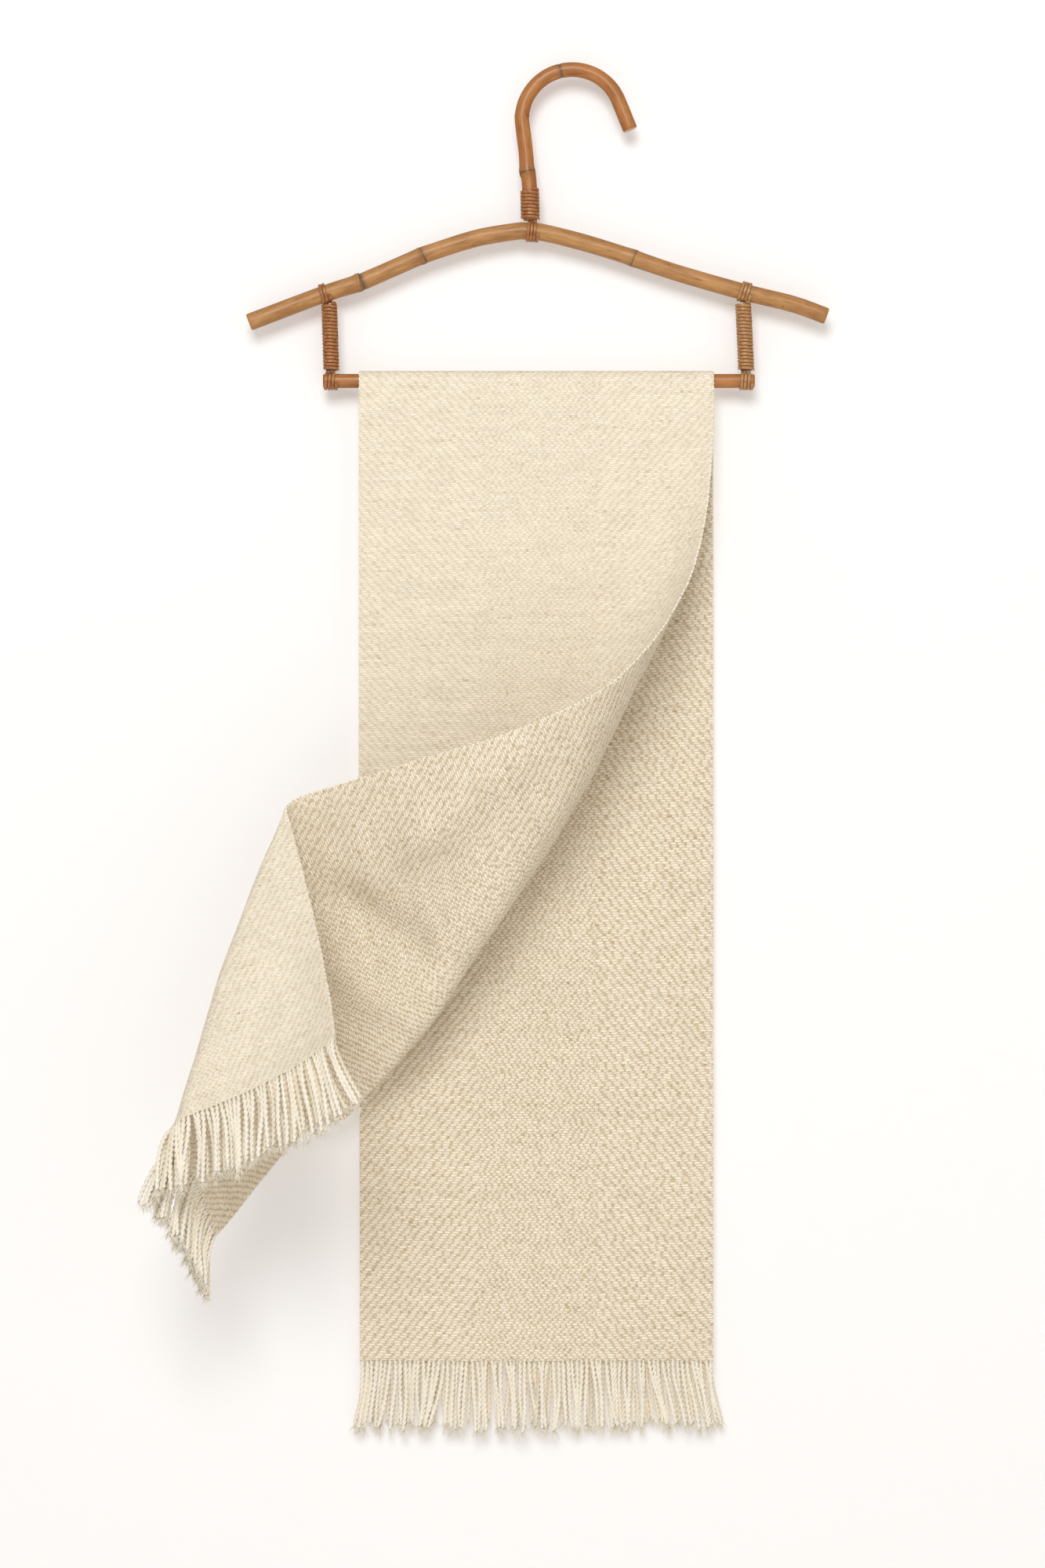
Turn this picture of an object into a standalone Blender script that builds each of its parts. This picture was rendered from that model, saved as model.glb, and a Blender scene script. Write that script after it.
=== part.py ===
# A handwoven scarf hung over the rod of a cane hanger.
# Metres, +Z up, +X right, the front faces -Y. The origin is where the hook rests on its peg.

import math

import bmesh
import bpy
import numpy as np
from mathutils import Vector

# Scarf
SCARF_WIDTH = 0.255
LEG_LENGTH = 0.707  # from the rod's centre line down to the fringe
CLOTH_WALL = 0.0020
SEAM_GAP = 0.0003
CLOTH_LEFT = -0.1525  # the hanging left selvedge

# Fringe
STRIP_DEPTH = 0.0035
STRAND_LENGTH = 0.050
STRANDS_PER_END = 60
STRAND_SHARE = 0.52  # of its share of the edge that a strand takes
STRAND_STEPS = 3
STRAND_DROOP = 0.95  # how fast a strand turns from the cloth's own direction to straight down
STRAND_TAPER = 0.7
SPLAY_LEFT = 0.12  # how far the back fringe leans outward at its two ends
SPLAY_RIGHT = 0.26

# Hanger
ROD_DIAMETER = 0.0102
ROD_CENTRE_Z = -0.2188
ROD_LEFT = -0.1785
ROD_RIGHT = 0.1320
POLE_DIAMETER = 0.0122
HOOK_DIAMETER = 0.0107
HOOK_RADIUS = 0.0361  # of the crown's centre line
POST_DIAMETER = 0.0086
POST_SIDES = 10
WRAP_THICKNESS = 0.0016
WRAP_PITCH = 0.0025
FIT_GAP = 0.0003

ROD_TO_CLOTH = ROD_DIAMETER / 2 + FIT_GAP + CLOTH_WALL / 2  # rod's centre to the middle of the wall
ROD_ARC = ROD_TO_CLOTH * math.pi / 2  # cloth from the top of the rod to its side

# The folds of the front leg. A row is a straight line across the flat cloth, from the right selvedge to the left,
# both measured down from the rod, and how far the cloth has turned towards the front when it gets there.
FOLDS = (
    dict(right=0.0023, left=0.540, turn=0),
    dict(right=0.0237, left=0.544, turn=21),
    dict(right=0.2427, left=0.549, turn=113),
    dict(right=0.3336, left=0.553, turn=176),
    dict(right=0.4906, left=0.562, turn=183),
    dict(right=0.5075, left=0.595, turn=116),
    dict(right=0.5097, left=0.851, turn=114),
    dict(right=0.5160, left=0.912, turn=17),
    dict(right=0.5250, left=0.974, turn=13),
    dict(right=0.7084, left=1.067, turn=44),
)
# Where the rolls are fuller than a straight fold: between which rows of the table and which shares of the width,
# and how far the cloth stands out, towards its reverse if negative
BULGES = (
    dict(row=1.0, last_row=3.0, left=0.0, right=1.0, height=-0.015),
    dict(row=4.2, last_row=7.0, left=0.48, right=1.0, height=0.006),
)
SMALL_BENDS = 12  # straight bends that make up the turn between two rows
SPLIT_STEP = SEAM_GAP * 1.8  # the gap between two stretches, measured along the selvedges
CORNER_GAP = 0.0012  # the same at the sharp corner, where the cloth is folded hardest
ARC_STEPS = 6
BACK_STEPS = 22
FIRST_SPLIT = 2  # the row where the front leg's node ends and the turned stretch's starts
SECOND_SPLIT = 6  # the row where the turned stretch's node ends and the end flap's starts

# The hanger's bent pole, left to right, and how thick it is there against its usual diameter
ARM_ROUTE = (
    dict(x=-0.2320, z=-0.1767, thick=1.00),
    dict(x=-0.1784, z=-0.1564, thick=1.00),
    dict(x=-0.1575, z=-0.1497, thick=1.04),
    dict(x=-0.1524, z=-0.1479, thick=1.14),
    dict(x=-0.1475, z=-0.1461, thick=1.02),
    dict(x=-0.1130, z=-0.1310, thick=1.00),
    dict(x=-0.1073, z=-0.1287, thick=1.09),
    dict(x=-0.1020, z=-0.1267, thick=1.00),
    dict(x=-0.0689, z=-0.1163, thick=1.00),
    dict(x=-0.0401, z=-0.1112, thick=1.00),
    dict(x=-0.0332, z=-0.1110, thick=1.00),
    dict(x=-0.0218, z=-0.1116, thick=1.00),
    dict(x=0.0090, z=-0.1191, thick=1.00),
    dict(x=0.0400, z=-0.1286, thick=1.00),
    dict(x=0.0452, z=-0.1304, thick=1.10),
    dict(x=0.0504, z=-0.1323, thick=1.00),
    dict(x=0.0807, z=-0.1423, thick=0.98),
    dict(x=0.1242, z=-0.1547, thick=0.98),
    dict(x=0.1603, z=-0.1637, thick=0.97),
    dict(x=0.1840, z=-0.1722, thick=0.97),
)

# The hook's foot, from the arm up to the start of the crown
HOOK_FOOT = (
    dict(x=-0.0292, z=-0.1030, thick=1.00),
    dict(x=-0.0298, z=-0.0800, thick=1.02),
    dict(x=-0.0305, z=-0.0720, thick=1.04),
    dict(x=-0.0314, z=-0.0683, thick=1.16),
    dict(x=-0.0318, z=-0.0640, thick=1.02),
    dict(x=-0.0326, z=-0.0530, thick=1.00),
)

# Cane bindings: where each stands, along its axis, and how many turns of split cane it has
TIE_THICKNESS = 0.0014
BINDING_THICKNESS = 0.0012
BINDING_TURNS = 9
TIES = (
    dict(name="tie_arm_left", x=-0.1773, z=-0.1561, lean=19.4, across=POLE_DIAMETER, length=0.0079, turns=3),
    dict(name="tie_arm_right", x=0.1256, z=-0.1550, lean=-15.0, across=POLE_DIAMETER, length=0.0100, turns=4),
    dict(name="tie_rod_left", x=-0.1728, z=ROD_CENTRE_Z, lean=0.0, across=ROD_DIAMETER, length=0.0104, turns=4),
    dict(name="tie_rod_right", x=0.1262, z=ROD_CENTRE_Z, lean=0.0, across=ROD_DIAMETER, length=0.0104, turns=4),
    dict(name="tie_arm_hook", x=-0.0276, z=-0.1113, lean=-3.0, across=POLE_DIAMETER, length=0.0096, turns=4),
)

# The two short posts between the arm and the rod, each wrapped all over with split cane
POST_BOTTOM_Z = -0.2116
POSTS = (
    dict(side="left", x_bottom=-0.1725, x_top=-0.1740, z_top=-0.1646),
    dict(side="right", x_bottom=0.1262, x_top=0.1240, z_top=-0.1641),
)

CANE_SIDES = 12
HALF_TURN_STEPS = 16  # straight pieces along the hook's crown
HOOK_CENTRE_X = 0.0008
HOOK_CROWN_END = 22.0  # degrees above level where the crown runs out into the straight tip
HOOK_TIP_LENGTH = 0.0222

SMOOTH_ANGLE = math.radians(50)


def clear_scene():
    for thing in list(bpy.data.objects):
        bpy.data.objects.remove(thing)


def new_collection(name):
    found = bpy.data.collections.new(name)
    bpy.context.scene.collection.children.link(found)
    return found


def plain_material(name, colour, roughness):
    material = bpy.data.materials.new(name)
    material.use_nodes = True
    shader = material.node_tree.nodes["Principled BSDF"]
    shader.inputs["Base Color"].default_value = (*colour, 1.0)
    shader.inputs["Roughness"].default_value = roughness
    shader.inputs["Metallic"].default_value = 0.0
    return material


def add_object(name, data, collection, material):
    thing = bpy.data.objects.new(name, data)
    collection.objects.link(thing)
    thing.data.materials.append(material)
    return thing


def mesh_object(name, bm, collection, material):
    mesh = bpy.data.meshes.new(name)
    bmesh.ops.recalc_face_normals(bm, faces=bm.faces)
    bm.to_mesh(mesh)
    bm.free()
    thing = add_object(name, mesh, collection, material)
    mesh.shade_smooth()
    mesh.set_sharp_from_angle(angle=SMOOTH_ANGLE)
    return thing


def turned(points, origin, axis, angle):
    """Points turned about a line, each by its own angle."""
    arm = points - origin
    cosine = np.cos(angle)[:, None]
    sine = np.sin(angle)[:, None]
    along = (arm @ axis)[:, None] * axis[None, :]
    return origin + arm * cosine + np.cross(axis[None, :], arm) * sine + along * (1 - cosine)


def small_bends():
    """The straight bends, from the rod to the end: the line where each starts, where it ends, its angle."""
    found = []
    for first, last in zip(FOLDS[:-1], FOLDS[1:]):
        angle = math.radians(last["turn"] - first["turn"]) / SMALL_BENDS
        for step in range(SMALL_BENDS):
            lines = []
            for share in (step / SMALL_BENDS, (step + 1) / SMALL_BENDS):
                right = first["right"] + (last["right"] - first["right"]) * share
                left = first["left"] + (last["left"] - first["left"]) * share
                lines.append((right, left))
            found.append((*lines[0], *lines[1], angle))
    return found


def hang_front(across, down, outward):
    """Flat cloth of the front leg, bent to its place. Outward is measured from the wall's middle, to the front."""
    across, down, outward = (np.asarray(value, float) for value in (across, down, outward))
    middle = np.stack([across, np.zeros_like(across), -down], 1)
    lifted = middle + np.array([0.0, -1.0, 0.0])
    row = np.zeros_like(down)
    for right, left, right_end, left_end, angle in reversed(small_bends()):
        before = down - (left + (right - left) * across / SCARF_WIDTH)
        after = down - (left_end + (right_end - left_end) * across / SCARF_WIDTH)
        passed = np.clip(before / np.maximum(before - after, 1e-9), 0, 1)
        right_mid = (right + right_end) / 2
        left_mid = (left + left_end) / 2
        axis = np.array([SCARF_WIDTH, 0.0, left_mid - right_mid])
        axis /= np.linalg.norm(axis)
        origin = np.array([SCARF_WIDTH, 0.0, -right_mid])
        middle = turned(middle, origin, axis, -passed * angle)
        lifted = turned(lifted, origin, axis, -passed * angle)
        row += passed / SMALL_BENDS
    normal = lifted - middle
    placed = middle + normal * (outward + bulge(across / SCARF_WIDTH, row))[:, None]
    placed += np.array([CLOTH_LEFT, -ROD_TO_CLOTH, ROD_CENTRE_Z])
    return over_rod(placed, across, down, outward, -1.0)


def over_rod(placed, across, down, outward, side):
    """The stretch above the rod's centre line goes round the rod instead. Side is -1 in front and 1 behind."""
    above = down < 0
    angle = -down[above] / ROD_TO_CLOTH
    reach = ROD_TO_CLOTH + outward[above]
    placed[above, 0] = CLOTH_LEFT + across[above]
    placed[above, 1] = side * reach * np.cos(angle)
    placed[above, 2] = ROD_CENTRE_Z + reach * np.sin(angle)
    return placed


def fading(value, start, end):
    """0 before start, 1 after end, smooth between."""
    share = np.clip((value - start) / (end - start), 0, 1)
    return share * share * (3 - 2 * share)


def bulge(share, row):
    """How far the cloth stands out of its straight folds, at a share of its width and a row of the table."""
    total = np.zeros_like(row)
    for place in BULGES:
        over = np.clip((row - place["row"]) / (place["last_row"] - place["row"]), 0, 1)
        beside = np.clip((share - place["left"]) / (place["right"] - place["left"]), 0, 1)
        total += place["height"] * np.sin(math.pi * over) ** 2 * np.sin(math.pi * beside)
    return total


def hang_back(across, down, outward):
    """Flat cloth of the back leg. Outward points away from the front."""
    across, down, outward = (np.asarray(value, float) for value in (across, down, outward))
    wave = back_waves(across, down)
    placed = np.stack([CLOTH_LEFT + across, ROD_TO_CLOTH + outward + wave, ROD_CENTRE_Z - down], 1)
    return over_rod(placed, across, down, outward, 1.0)


def back_waves(across, down):
    fade = fading(down, 0.05, 0.30)
    share = across / SCARF_WIDTH
    wide = 0.0012 * np.sin(math.tau * (share * 0.8 + down * 1.9))
    narrow = 0.0009 * np.sin(math.tau * (share * 1.7 - down * 2.8))
    return fade * (wide + narrow)


def slab(columns, rows, flat_of, hang):
    """A grid with a thickness, each corner's share of the sheet turned into flat cloth and hung."""
    bm = bmesh.new()
    bmesh.ops.create_grid(bm, x_segments=columns, y_segments=rows, size=0.5)
    faces = list(bm.faces)
    raised = bmesh.ops.extrude_face_region(bm, geom=faces)["geom"]
    top = {corner for corner in raised if isinstance(corner, bmesh.types.BMVert)}
    corners = list(bm.verts)
    shares = np.array([(corner.co.x + 0.5, corner.co.y + 0.5) for corner in corners])
    outward = np.array([CLOTH_WALL / 2 if corner in top else -CLOTH_WALL / 2 for corner in corners])
    across, down = flat_of(shares[:, 0], shares[:, 1])
    for corner, place in zip(corners, hang(across, down, outward)):
        corner.co = place
    return bm


def fold_lines(first, last, steps):
    """Straight lines across the flat cloth, (right, left), between two rows of the table, steps to a row."""
    rows = FOLDS[first : last + 1]
    lines = [(rows[0]["right"], rows[0]["left"])]
    for start, end in zip(rows[:-1], rows[1:]):
        for step in range(1, steps + 1):
            share = step / steps
            right = start["right"] + (end["right"] - start["right"]) * share
            left = start["left"] + (end["left"] - start["left"]) * share
            lines.append((right, left))
    return lines


def cloth_stretch(name, lines, columns, hang, collection, material):
    """One stretch of the scarf, whose wall follows a list of straight lines across the flat cloth."""
    rights = np.array([line[0] for line in lines])
    lefts = np.array([line[1] for line in lines])
    end = LEG_LENGTH - STRIP_DEPTH - SEAM_GAP

    def flat_of(side, along):
        number = np.rint(along * (len(lines) - 1)).astype(int)
        right, left = rights[number], lefts[number]
        # a line that runs off the cloth's end stops there
        shortest = np.where(left > end, (left - end) / np.maximum(left - right, 1e-6), 0.0)
        share = shortest + (1 - shortest) * side
        return share * SCARF_WIDTH, np.minimum(left + (right - left) * share, end)

    bm = slab(columns, len(lines) - 1, flat_of, hang)
    return mesh_object(name, bm, collection, material)


def fringe(name, first, last, strands, hang, collection, material, seed, splay=(0.0, 0.0)):
    """A narrow strip along the cloth's end, from first to last across, with strands grown from its lower edge.
    Splay is how far the strands lean outward at the left and right ends."""
    random = np.random.default_rng(seed)
    pitch = (last - first) / strands
    margin = pitch * (1 - STRAND_SHARE) / 2
    edges = [first]
    for number in range(strands):
        start = first + pitch * number + margin
        edges += [start, start + pitch * STRAND_SHARE]
    edges.append(last)
    edges = np.array(edges)

    def flat_of(side, along):
        column = np.rint(side * (len(edges) - 1)).astype(int)
        return edges[column], LEG_LENGTH - STRIP_DEPTH * (1 - along)

    bm = slab(len(edges) - 1, 1, flat_of, hang)
    bm.verts.ensure_lookup_table()
    middles = (edges[1:-1:2] + edges[2::2]) / 2
    ends = hang(middles, np.full(strands, LEG_LENGTH), np.zeros(strands))
    before = hang(middles, np.full(strands, LEG_LENGTH - STRIP_DEPTH), np.zeros(strands))
    free_faces = list(bm.faces)
    for number in range(strands):
        root = Vector(ends[number])
        onward = (root - Vector(before[number])).normalized()
        face = min(free_faces, key=lambda one: (one.calc_center_median() - root).length)
        free_faces.remove(face)
        share = number / (strands - 1)
        lean = splay[1] * share ** 4 - splay[0] * (1 - share) ** 4
        grow_strand(bm, face, onward, lean, random)
    return mesh_object(name, bm, collection, material)


def grow_strand(bm, face, onward, lean, random):
    """A strand that leaves the cloth's edge along the warp and soon hangs straight down."""
    length = STRAND_LENGTH * random.uniform(0.94, 1.0)
    sway = Vector((lean + random.normal(0, 0.06), random.normal(0, 0.05), 0))
    direction = onward.copy()
    step = length / STRAND_STEPS
    for number in range(STRAND_STEPS):
        direction = (direction + (Vector((0, 0, -1)) + sway) * STRAND_DROOP).normalized()
        made = bmesh.ops.extrude_discrete_faces(bm, faces=[face])["faces"]
        face = made[0]
        centre = face.calc_center_median()
        taper = STRAND_TAPER if number == STRAND_STEPS - 1 else 1.0
        for corner in face.verts:
            corner.co = centre + (corner.co - centre) * taper + direction * step


def cane(name, route, diameter, collection, material, sides=CANE_SIDES):
    """A cane pole along a route of (x, y, z, thick)."""
    curve = bpy.data.curves.new(name, "CURVE")
    curve.dimensions = "3D"
    curve.bevel_depth = diameter / 2
    curve.bevel_resolution = (sides - 4) // 2
    curve.use_fill_caps = True
    spline = curve.splines.new("POLY")
    spline.points.add(len(route) - 1)
    for point, (x, y, z, thick) in zip(spline.points, route):
        point.co = (x, y, z, 1.0)
        point.radius = thick
    return add_object(name, curve, collection, material)


def ribbed_sleeve(name, inner, thickness, length, turns, steps, collection, material):
    """Turns of split cane round a pole along Z: a sleeve turned from a profile with one rib for each turn."""
    pitch = length / turns
    valley = inner + thickness * 0.4
    outline = [(inner, length / 2), (valley, length / 2)]
    for turn in range(turns):
        top = length / 2 - turn * pitch
        outline.append((inner + thickness, top - pitch / 2))
        outline.append((valley, top - pitch))
    outline.append((inner, -length / 2))
    bm = bmesh.new()
    corners = [bm.verts.new((radius, 0, height)) for radius, height in reversed(outline)]
    for first, second in zip(corners, corners[1:] + corners[:1]):
        bm.edges.new((first, second))
    mesh = bpy.data.meshes.new(name)
    bm.to_mesh(mesh)
    bm.free()
    thing = add_object(name, mesh, collection, material)
    screw = thing.modifiers.new("turned", "SCREW")
    screw.steps = steps
    screw.render_steps = steps
    screw.use_merge_vertices = True
    screw.merge_threshold = 0.00001
    screw.use_normal_calculate = True
    return thing


def hook_route():
    """Foot, crown and tip of the hook. The crown's underside is at the origin's height."""
    rows = [(row["x"], 0.0, row["z"], row["thick"]) for row in HOOK_FOOT]
    centre_z = HOOK_DIAMETER / 2 - HOOK_RADIUS
    turn = math.pi - math.radians(HOOK_CROWN_END)
    for step in range(HALF_TURN_STEPS + 1):
        angle = math.pi - turn * step / HALF_TURN_STEPS
        x = HOOK_CENTRE_X + HOOK_RADIUS * math.cos(angle)
        rows.append((x, 0.0, centre_z + HOOK_RADIUS * math.sin(angle), 1.0))
    end = math.radians(HOOK_CROWN_END)
    x, y, z, thick = rows[-1]
    rows.append((x + HOOK_TIP_LENGTH * math.sin(end), y, z - HOOK_TIP_LENGTH * math.cos(end), thick))
    return rows


def hanger(collection):
    pale_cane = plain_material("pale cane", (0.52, 0.31, 0.13), 0.42)
    red_cane = plain_material("toasted cane", (0.42, 0.20, 0.07), 0.35)
    split_cane = plain_material("split cane", (0.43, 0.19, 0.06), 0.38)
    cane("hanger_hook", hook_route(), HOOK_DIAMETER, collection, red_cane)
    arm = [(row["x"], 0.0, row["z"], row["thick"]) for row in ARM_ROUTE]
    cane("hanger_arm", arm, POLE_DIAMETER, collection, pale_cane)
    rod = [(ROD_LEFT, 0.0, ROD_CENTRE_Z, 1.0), (ROD_RIGHT, 0.0, ROD_CENTRE_Z, 1.0)]
    cane("hanger_rod", rod, ROD_DIAMETER, collection, red_cane)

    foot = Vector((HOOK_FOOT[0]["x"], 0, HOOK_FOOT[0]["z"]))
    up = Vector((HOOK_FOOT[1]["x"], 0, HOOK_FOOT[1]["z"])) - foot
    binding = ribbed_sleeve(
        "binding_hook", HOOK_DIAMETER / 2 + FIT_GAP, BINDING_THICKNESS, up.length, BINDING_TURNS,
        CANE_SIDES, collection, split_cane,
    )
    binding.location = foot + up / 2
    binding.rotation_euler = (0, math.atan2(up.x, up.z), 0)

    for row in POSTS:
        bottom = Vector((row["x_bottom"], 0, POST_BOTTOM_Z))
        rise = Vector((row["x_top"], 0, row["z_top"])) - bottom
        ends = [(*bottom, 1.0), (*(bottom + rise), 1.0)]
        cane("hanger_post_" + row["side"], ends, POST_DIAMETER, collection, pale_cane, sides=8)
        turns = round(rise.length / WRAP_PITCH)
        wrap = ribbed_sleeve(
            "wrap_post_" + row["side"], POST_DIAMETER / 2 + FIT_GAP, WRAP_THICKNESS, rise.length, turns,
            POST_SIDES, collection, split_cane,
        )
        wrap.location = bottom + rise / 2
        wrap.rotation_euler = (0, math.atan2(rise.x, rise.z), 0)

    for row in TIES:
        tie = ribbed_sleeve(
            row["name"], row["across"] / 2 + FIT_GAP, TIE_THICKNESS, row["length"], row["turns"],
            CANE_SIDES, collection, split_cane,
        )
        tie.location = (row["x"], 0, row["z"])
        tie.rotation_euler = (0, math.pi / 2 - math.radians(row["lean"]), 0)


def scarf(collection):
    cream = plain_material("cream handwoven cloth", (0.80, 0.72, 0.56), 0.9)
    yarn = plain_material("cream yarn", (0.84, 0.77, 0.63), 0.9)
    top = -ROD_ARC + SEAM_GAP / 2
    end = LEG_LENGTH - STRIP_DEPTH - SEAM_GAP
    arc = [(top * (1 - step / ARC_STEPS),) * 2 for step in range(ARC_STEPS + 1)]
    fan = [(FOLDS[0]["right"] * share, FOLDS[0]["left"] * share) for share in (0.12, 0.35, 0.65)]

    front = arc + fan + fold_lines(0, FIRST_SPLIT, 5)
    cloth_stretch("cloth_front_leg", front, 10, hang_front, collection, cream)
    turned_lines = fold_lines(FIRST_SPLIT, SECOND_SPLIT, 5)
    turned_lines[0] = tuple(value + SPLIT_STEP for value in turned_lines[0])
    cloth_stretch("cloth_turned_stretch", turned_lines, 10, hang_front, collection, cream)
    flap_lines = fold_lines(SECOND_SPLIT, len(FOLDS) - 1, 6)
    right, left = flap_lines[0]
    flap_lines[0] = (right + CORNER_GAP, left + SPLIT_STEP)
    cloth_stretch("cloth_end_flap", flap_lines, 10, hang_front, collection, cream)
    back = arc + [(end * step / BACK_STEPS,) * 2 for step in range(1, BACK_STEPS + 1)]
    cloth_stretch("cloth_back_leg", back, 8, hang_back, collection, cream)

    second_fold = FOLDS[SECOND_SPLIT]
    split = SCARF_WIDTH * (second_fold["left"] - LEG_LENGTH) / (second_fold["left"] - second_fold["right"])
    near_half = round(STRANDS_PER_END * split / SCARF_WIDTH)
    far_half = STRANDS_PER_END - near_half
    fringe(
        "fringe_back_leg", 0.0, SCARF_WIDTH, STRANDS_PER_END, hang_back, collection, yarn, 11,
        splay=(SPLAY_LEFT, SPLAY_RIGHT),
    )
    fringe("fringe_turned_stretch", 0.0, split - SEAM_GAP / 2, near_half, hang_front, collection, yarn, 12)
    fringe("fringe_end_flap", split + SEAM_GAP / 2, SCARF_WIDTH, far_half, hang_front, collection, yarn, 13)


clear_scene()
parts = new_collection("scarf_on_cane_hanger")
hanger(parts)
scarf(parts)
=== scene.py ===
# A handwoven scarf with fringed ends, hung over the lower rod of a cane hanger.
# Metres, +Z up, +X right, the front faces -Y. The origin is where the hook rests on its peg.

import math

import bmesh
import bpy
import numpy as np
from mathutils import Euler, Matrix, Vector


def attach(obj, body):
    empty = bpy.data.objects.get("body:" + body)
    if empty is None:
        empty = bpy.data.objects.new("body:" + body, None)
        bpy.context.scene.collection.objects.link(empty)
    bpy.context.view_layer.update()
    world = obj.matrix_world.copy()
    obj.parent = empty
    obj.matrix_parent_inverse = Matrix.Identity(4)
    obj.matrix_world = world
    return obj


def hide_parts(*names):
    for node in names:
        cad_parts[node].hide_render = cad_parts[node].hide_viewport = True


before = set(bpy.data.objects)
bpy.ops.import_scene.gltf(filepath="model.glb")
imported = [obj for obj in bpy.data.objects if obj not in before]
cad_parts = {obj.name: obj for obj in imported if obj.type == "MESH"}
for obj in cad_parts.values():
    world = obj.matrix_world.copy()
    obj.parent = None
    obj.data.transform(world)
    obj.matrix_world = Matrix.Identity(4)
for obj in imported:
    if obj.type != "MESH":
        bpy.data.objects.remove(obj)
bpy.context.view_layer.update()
print("frame:", len(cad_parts), "nodes")


# Objects and meshes

def addObject(name, data):
    thing = bpy.data.objects.new(name, data)
    bpy.context.scene.collection.objects.link(thing)
    return thing


def turnNormalsOutward(mesh):
    bm = bmesh.new()
    bm.from_mesh(mesh)
    bmesh.ops.recalc_face_normals(bm, faces=bm.faces)
    bm.to_mesh(mesh)
    bm.free()


# Nodes. The helpers work in the tree that their first linked value belongs to.

def newMaterial(name, settings):
    material = bpy.data.materials.new(name)
    material.use_nodes = True
    shader = material.node_tree.nodes["Principled BSDF"]
    for key, value in settings.items():
        shader.inputs[key].default_value = value
    return material, material.node_tree, shader


def linked(value):
    return isinstance(value, bpy.types.NodeSocket)


def treeOf(*values):
    return [value for value in values if linked(value)][0].id_data


def feed(value, socket):  # a link where the value is an output, else a plain setting
    if linked(value):
        socket.id_data.links.new(value, socket)
    else:
        socket.default_value = value


def addNode(tree, kind, inputs=None, **settings):
    node = tree.nodes.new(kind)
    for key, value in settings.items():
        setattr(node, key, value)
    for key, value in (inputs or {}).items():
        feed(value, node.inputs[key])
    return node


def calc(operation, *values, clamp=False):
    node = addNode(treeOf(*values), "ShaderNodeMath", dict(enumerate(values)), operation=operation, use_clamp=clamp)
    return node.outputs[0]


def times(first, second, clamp=False):
    return calc("MULTIPLY", first, second, clamp=clamp)


def plus(first, second):
    return calc("ADD", first, second)


def minus(first, second, clamp=False):
    return calc("SUBTRACT", first, second, clamp=clamp)


def timesPlus(value, factor, added):
    return calc("MULTIPLY_ADD", value, factor, added)


def combined(**axes):
    return addNode(treeOf(*axes.values()), "ShaderNodeCombineXYZ", axes).outputs[0]


def vectorScaled(vector, scale):
    node = addNode(vector.id_data, "ShaderNodeVectorMath", {0: vector}, operation="SCALE")
    feed(scale, node.inputs["Scale"])
    return node.outputs[0]


def mixed(share, first, second, kind):  # the first where the share is 0, the second where it is 1
    node = addNode(share.id_data, "ShaderNodeMix", {"Factor": share}, data_type=kind)
    socketType = "VALUE" if kind == "FLOAT" else kind
    for value, key in ((first, "A"), (second, "B")):
        feed(value, [one for one in node.inputs if one.name == key and one.type == socketType][0])
    return [one for one in node.outputs if one.type == socketType][0]


def switched(choice, off, on):
    return mixed(choice, off, on, "FLOAT")


def blendColour(share, *colours):
    first, second = (colour if linked(colour) else (*colour, 1.0) for colour in colours)
    return mixed(share, first, second, "RGBA")


def noiseAt(vector, scale, detail=2.0, rough=0.5):
    node = addNode(vector.id_data, "ShaderNodeTexNoise", {
        "Vector": vector, "Scale": scale, "Detail": detail, "Roughness": rough,
    })
    return node.outputs["Fac"]


def stretchedRange(value, low, high):
    node = addNode(value.id_data, "ShaderNodeMapRange", {"Value": value, "From Min": low, "From Max": high})
    return node.outputs["Result"]


def rareSpecks(vector, scale, radius, rarity):  # 1 inside a few scattered dots
    dots = addNode(vector.id_data, "ShaderNodeTexVoronoi", {"Vector": vector, "Scale": scale}).outputs
    chance = addNode(vector.id_data, "ShaderNodeSeparateColor", {"Color": dots["Color"]}).outputs["Red"]
    return times(calc("LESS_THAN", dots["Distance"], radius), calc("GREATER_THAN", chance, rarity))


def flatPlace(tree, name):
    return addNode(tree, "ShaderNodeUVMap", uv_map=name).outputs["UV"]


def storedValue(tree, name):
    return addNode(tree, "ShaderNodeAttribute", attribute_name=name).outputs["Fac"]


def finishShader(shader, colour, height, strength, distance):
    feed(colour, shader.inputs["Base Color"])
    bump = addNode(height.id_data, "ShaderNodeBump", {"Height": height, "Strength": strength, "Distance": distance})
    feed(bump.outputs["Normal"], shader.inputs["Normal"])


# Stage, light and camera

stage = {
    "floorZ": -1.25,
    "wallY": 0.017,
    "wallGlow": 0.16,  # the backdrop is lit from behind a little, as in a studio
    "planeSize": 8.0,
    "roughness": 0.9,
    "pale": (0.94, 0.93, 0.925),
    "wallPale": (0.80, 0.795, 0.81),
    "worldStrength": 0.52,
    "worldColour": (1.0, 0.91, 0.80),
    "lampSize": 1.6,
    "cameraAt": (-0.035, -2.5, -0.509),
    "frameHeight": 1.129,  # seen at the hanger's plane
    "sensor": 36.0,
}
lamps = (
    dict(name="key", place=(-0.34, -3.15, 1.15), target=(0.0, 0.0, -0.55), power=67.0, colour=(0.955, 0.985, 1.0)),
    dict(name="fill", place=(1.2, -2.4, -0.2), target=(0.0, 0.0, -0.5), power=3.0, colour=(1.0, 0.98, 0.95)),
    dict(name="behind", place=(0.6, 2.3, 0.3), target=(0.0, 0.0, -0.5), power=20.0, colour=(1.0, 0.98, 0.95)),
)


def palePlane(name, centre, rotation, material):
    bpy.ops.mesh.primitive_plane_add(size=stage["planeSize"], location=centre, rotation=rotation)
    plane = bpy.context.object
    plane.name = name
    plane.data.materials.append(material)
    return plane


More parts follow.
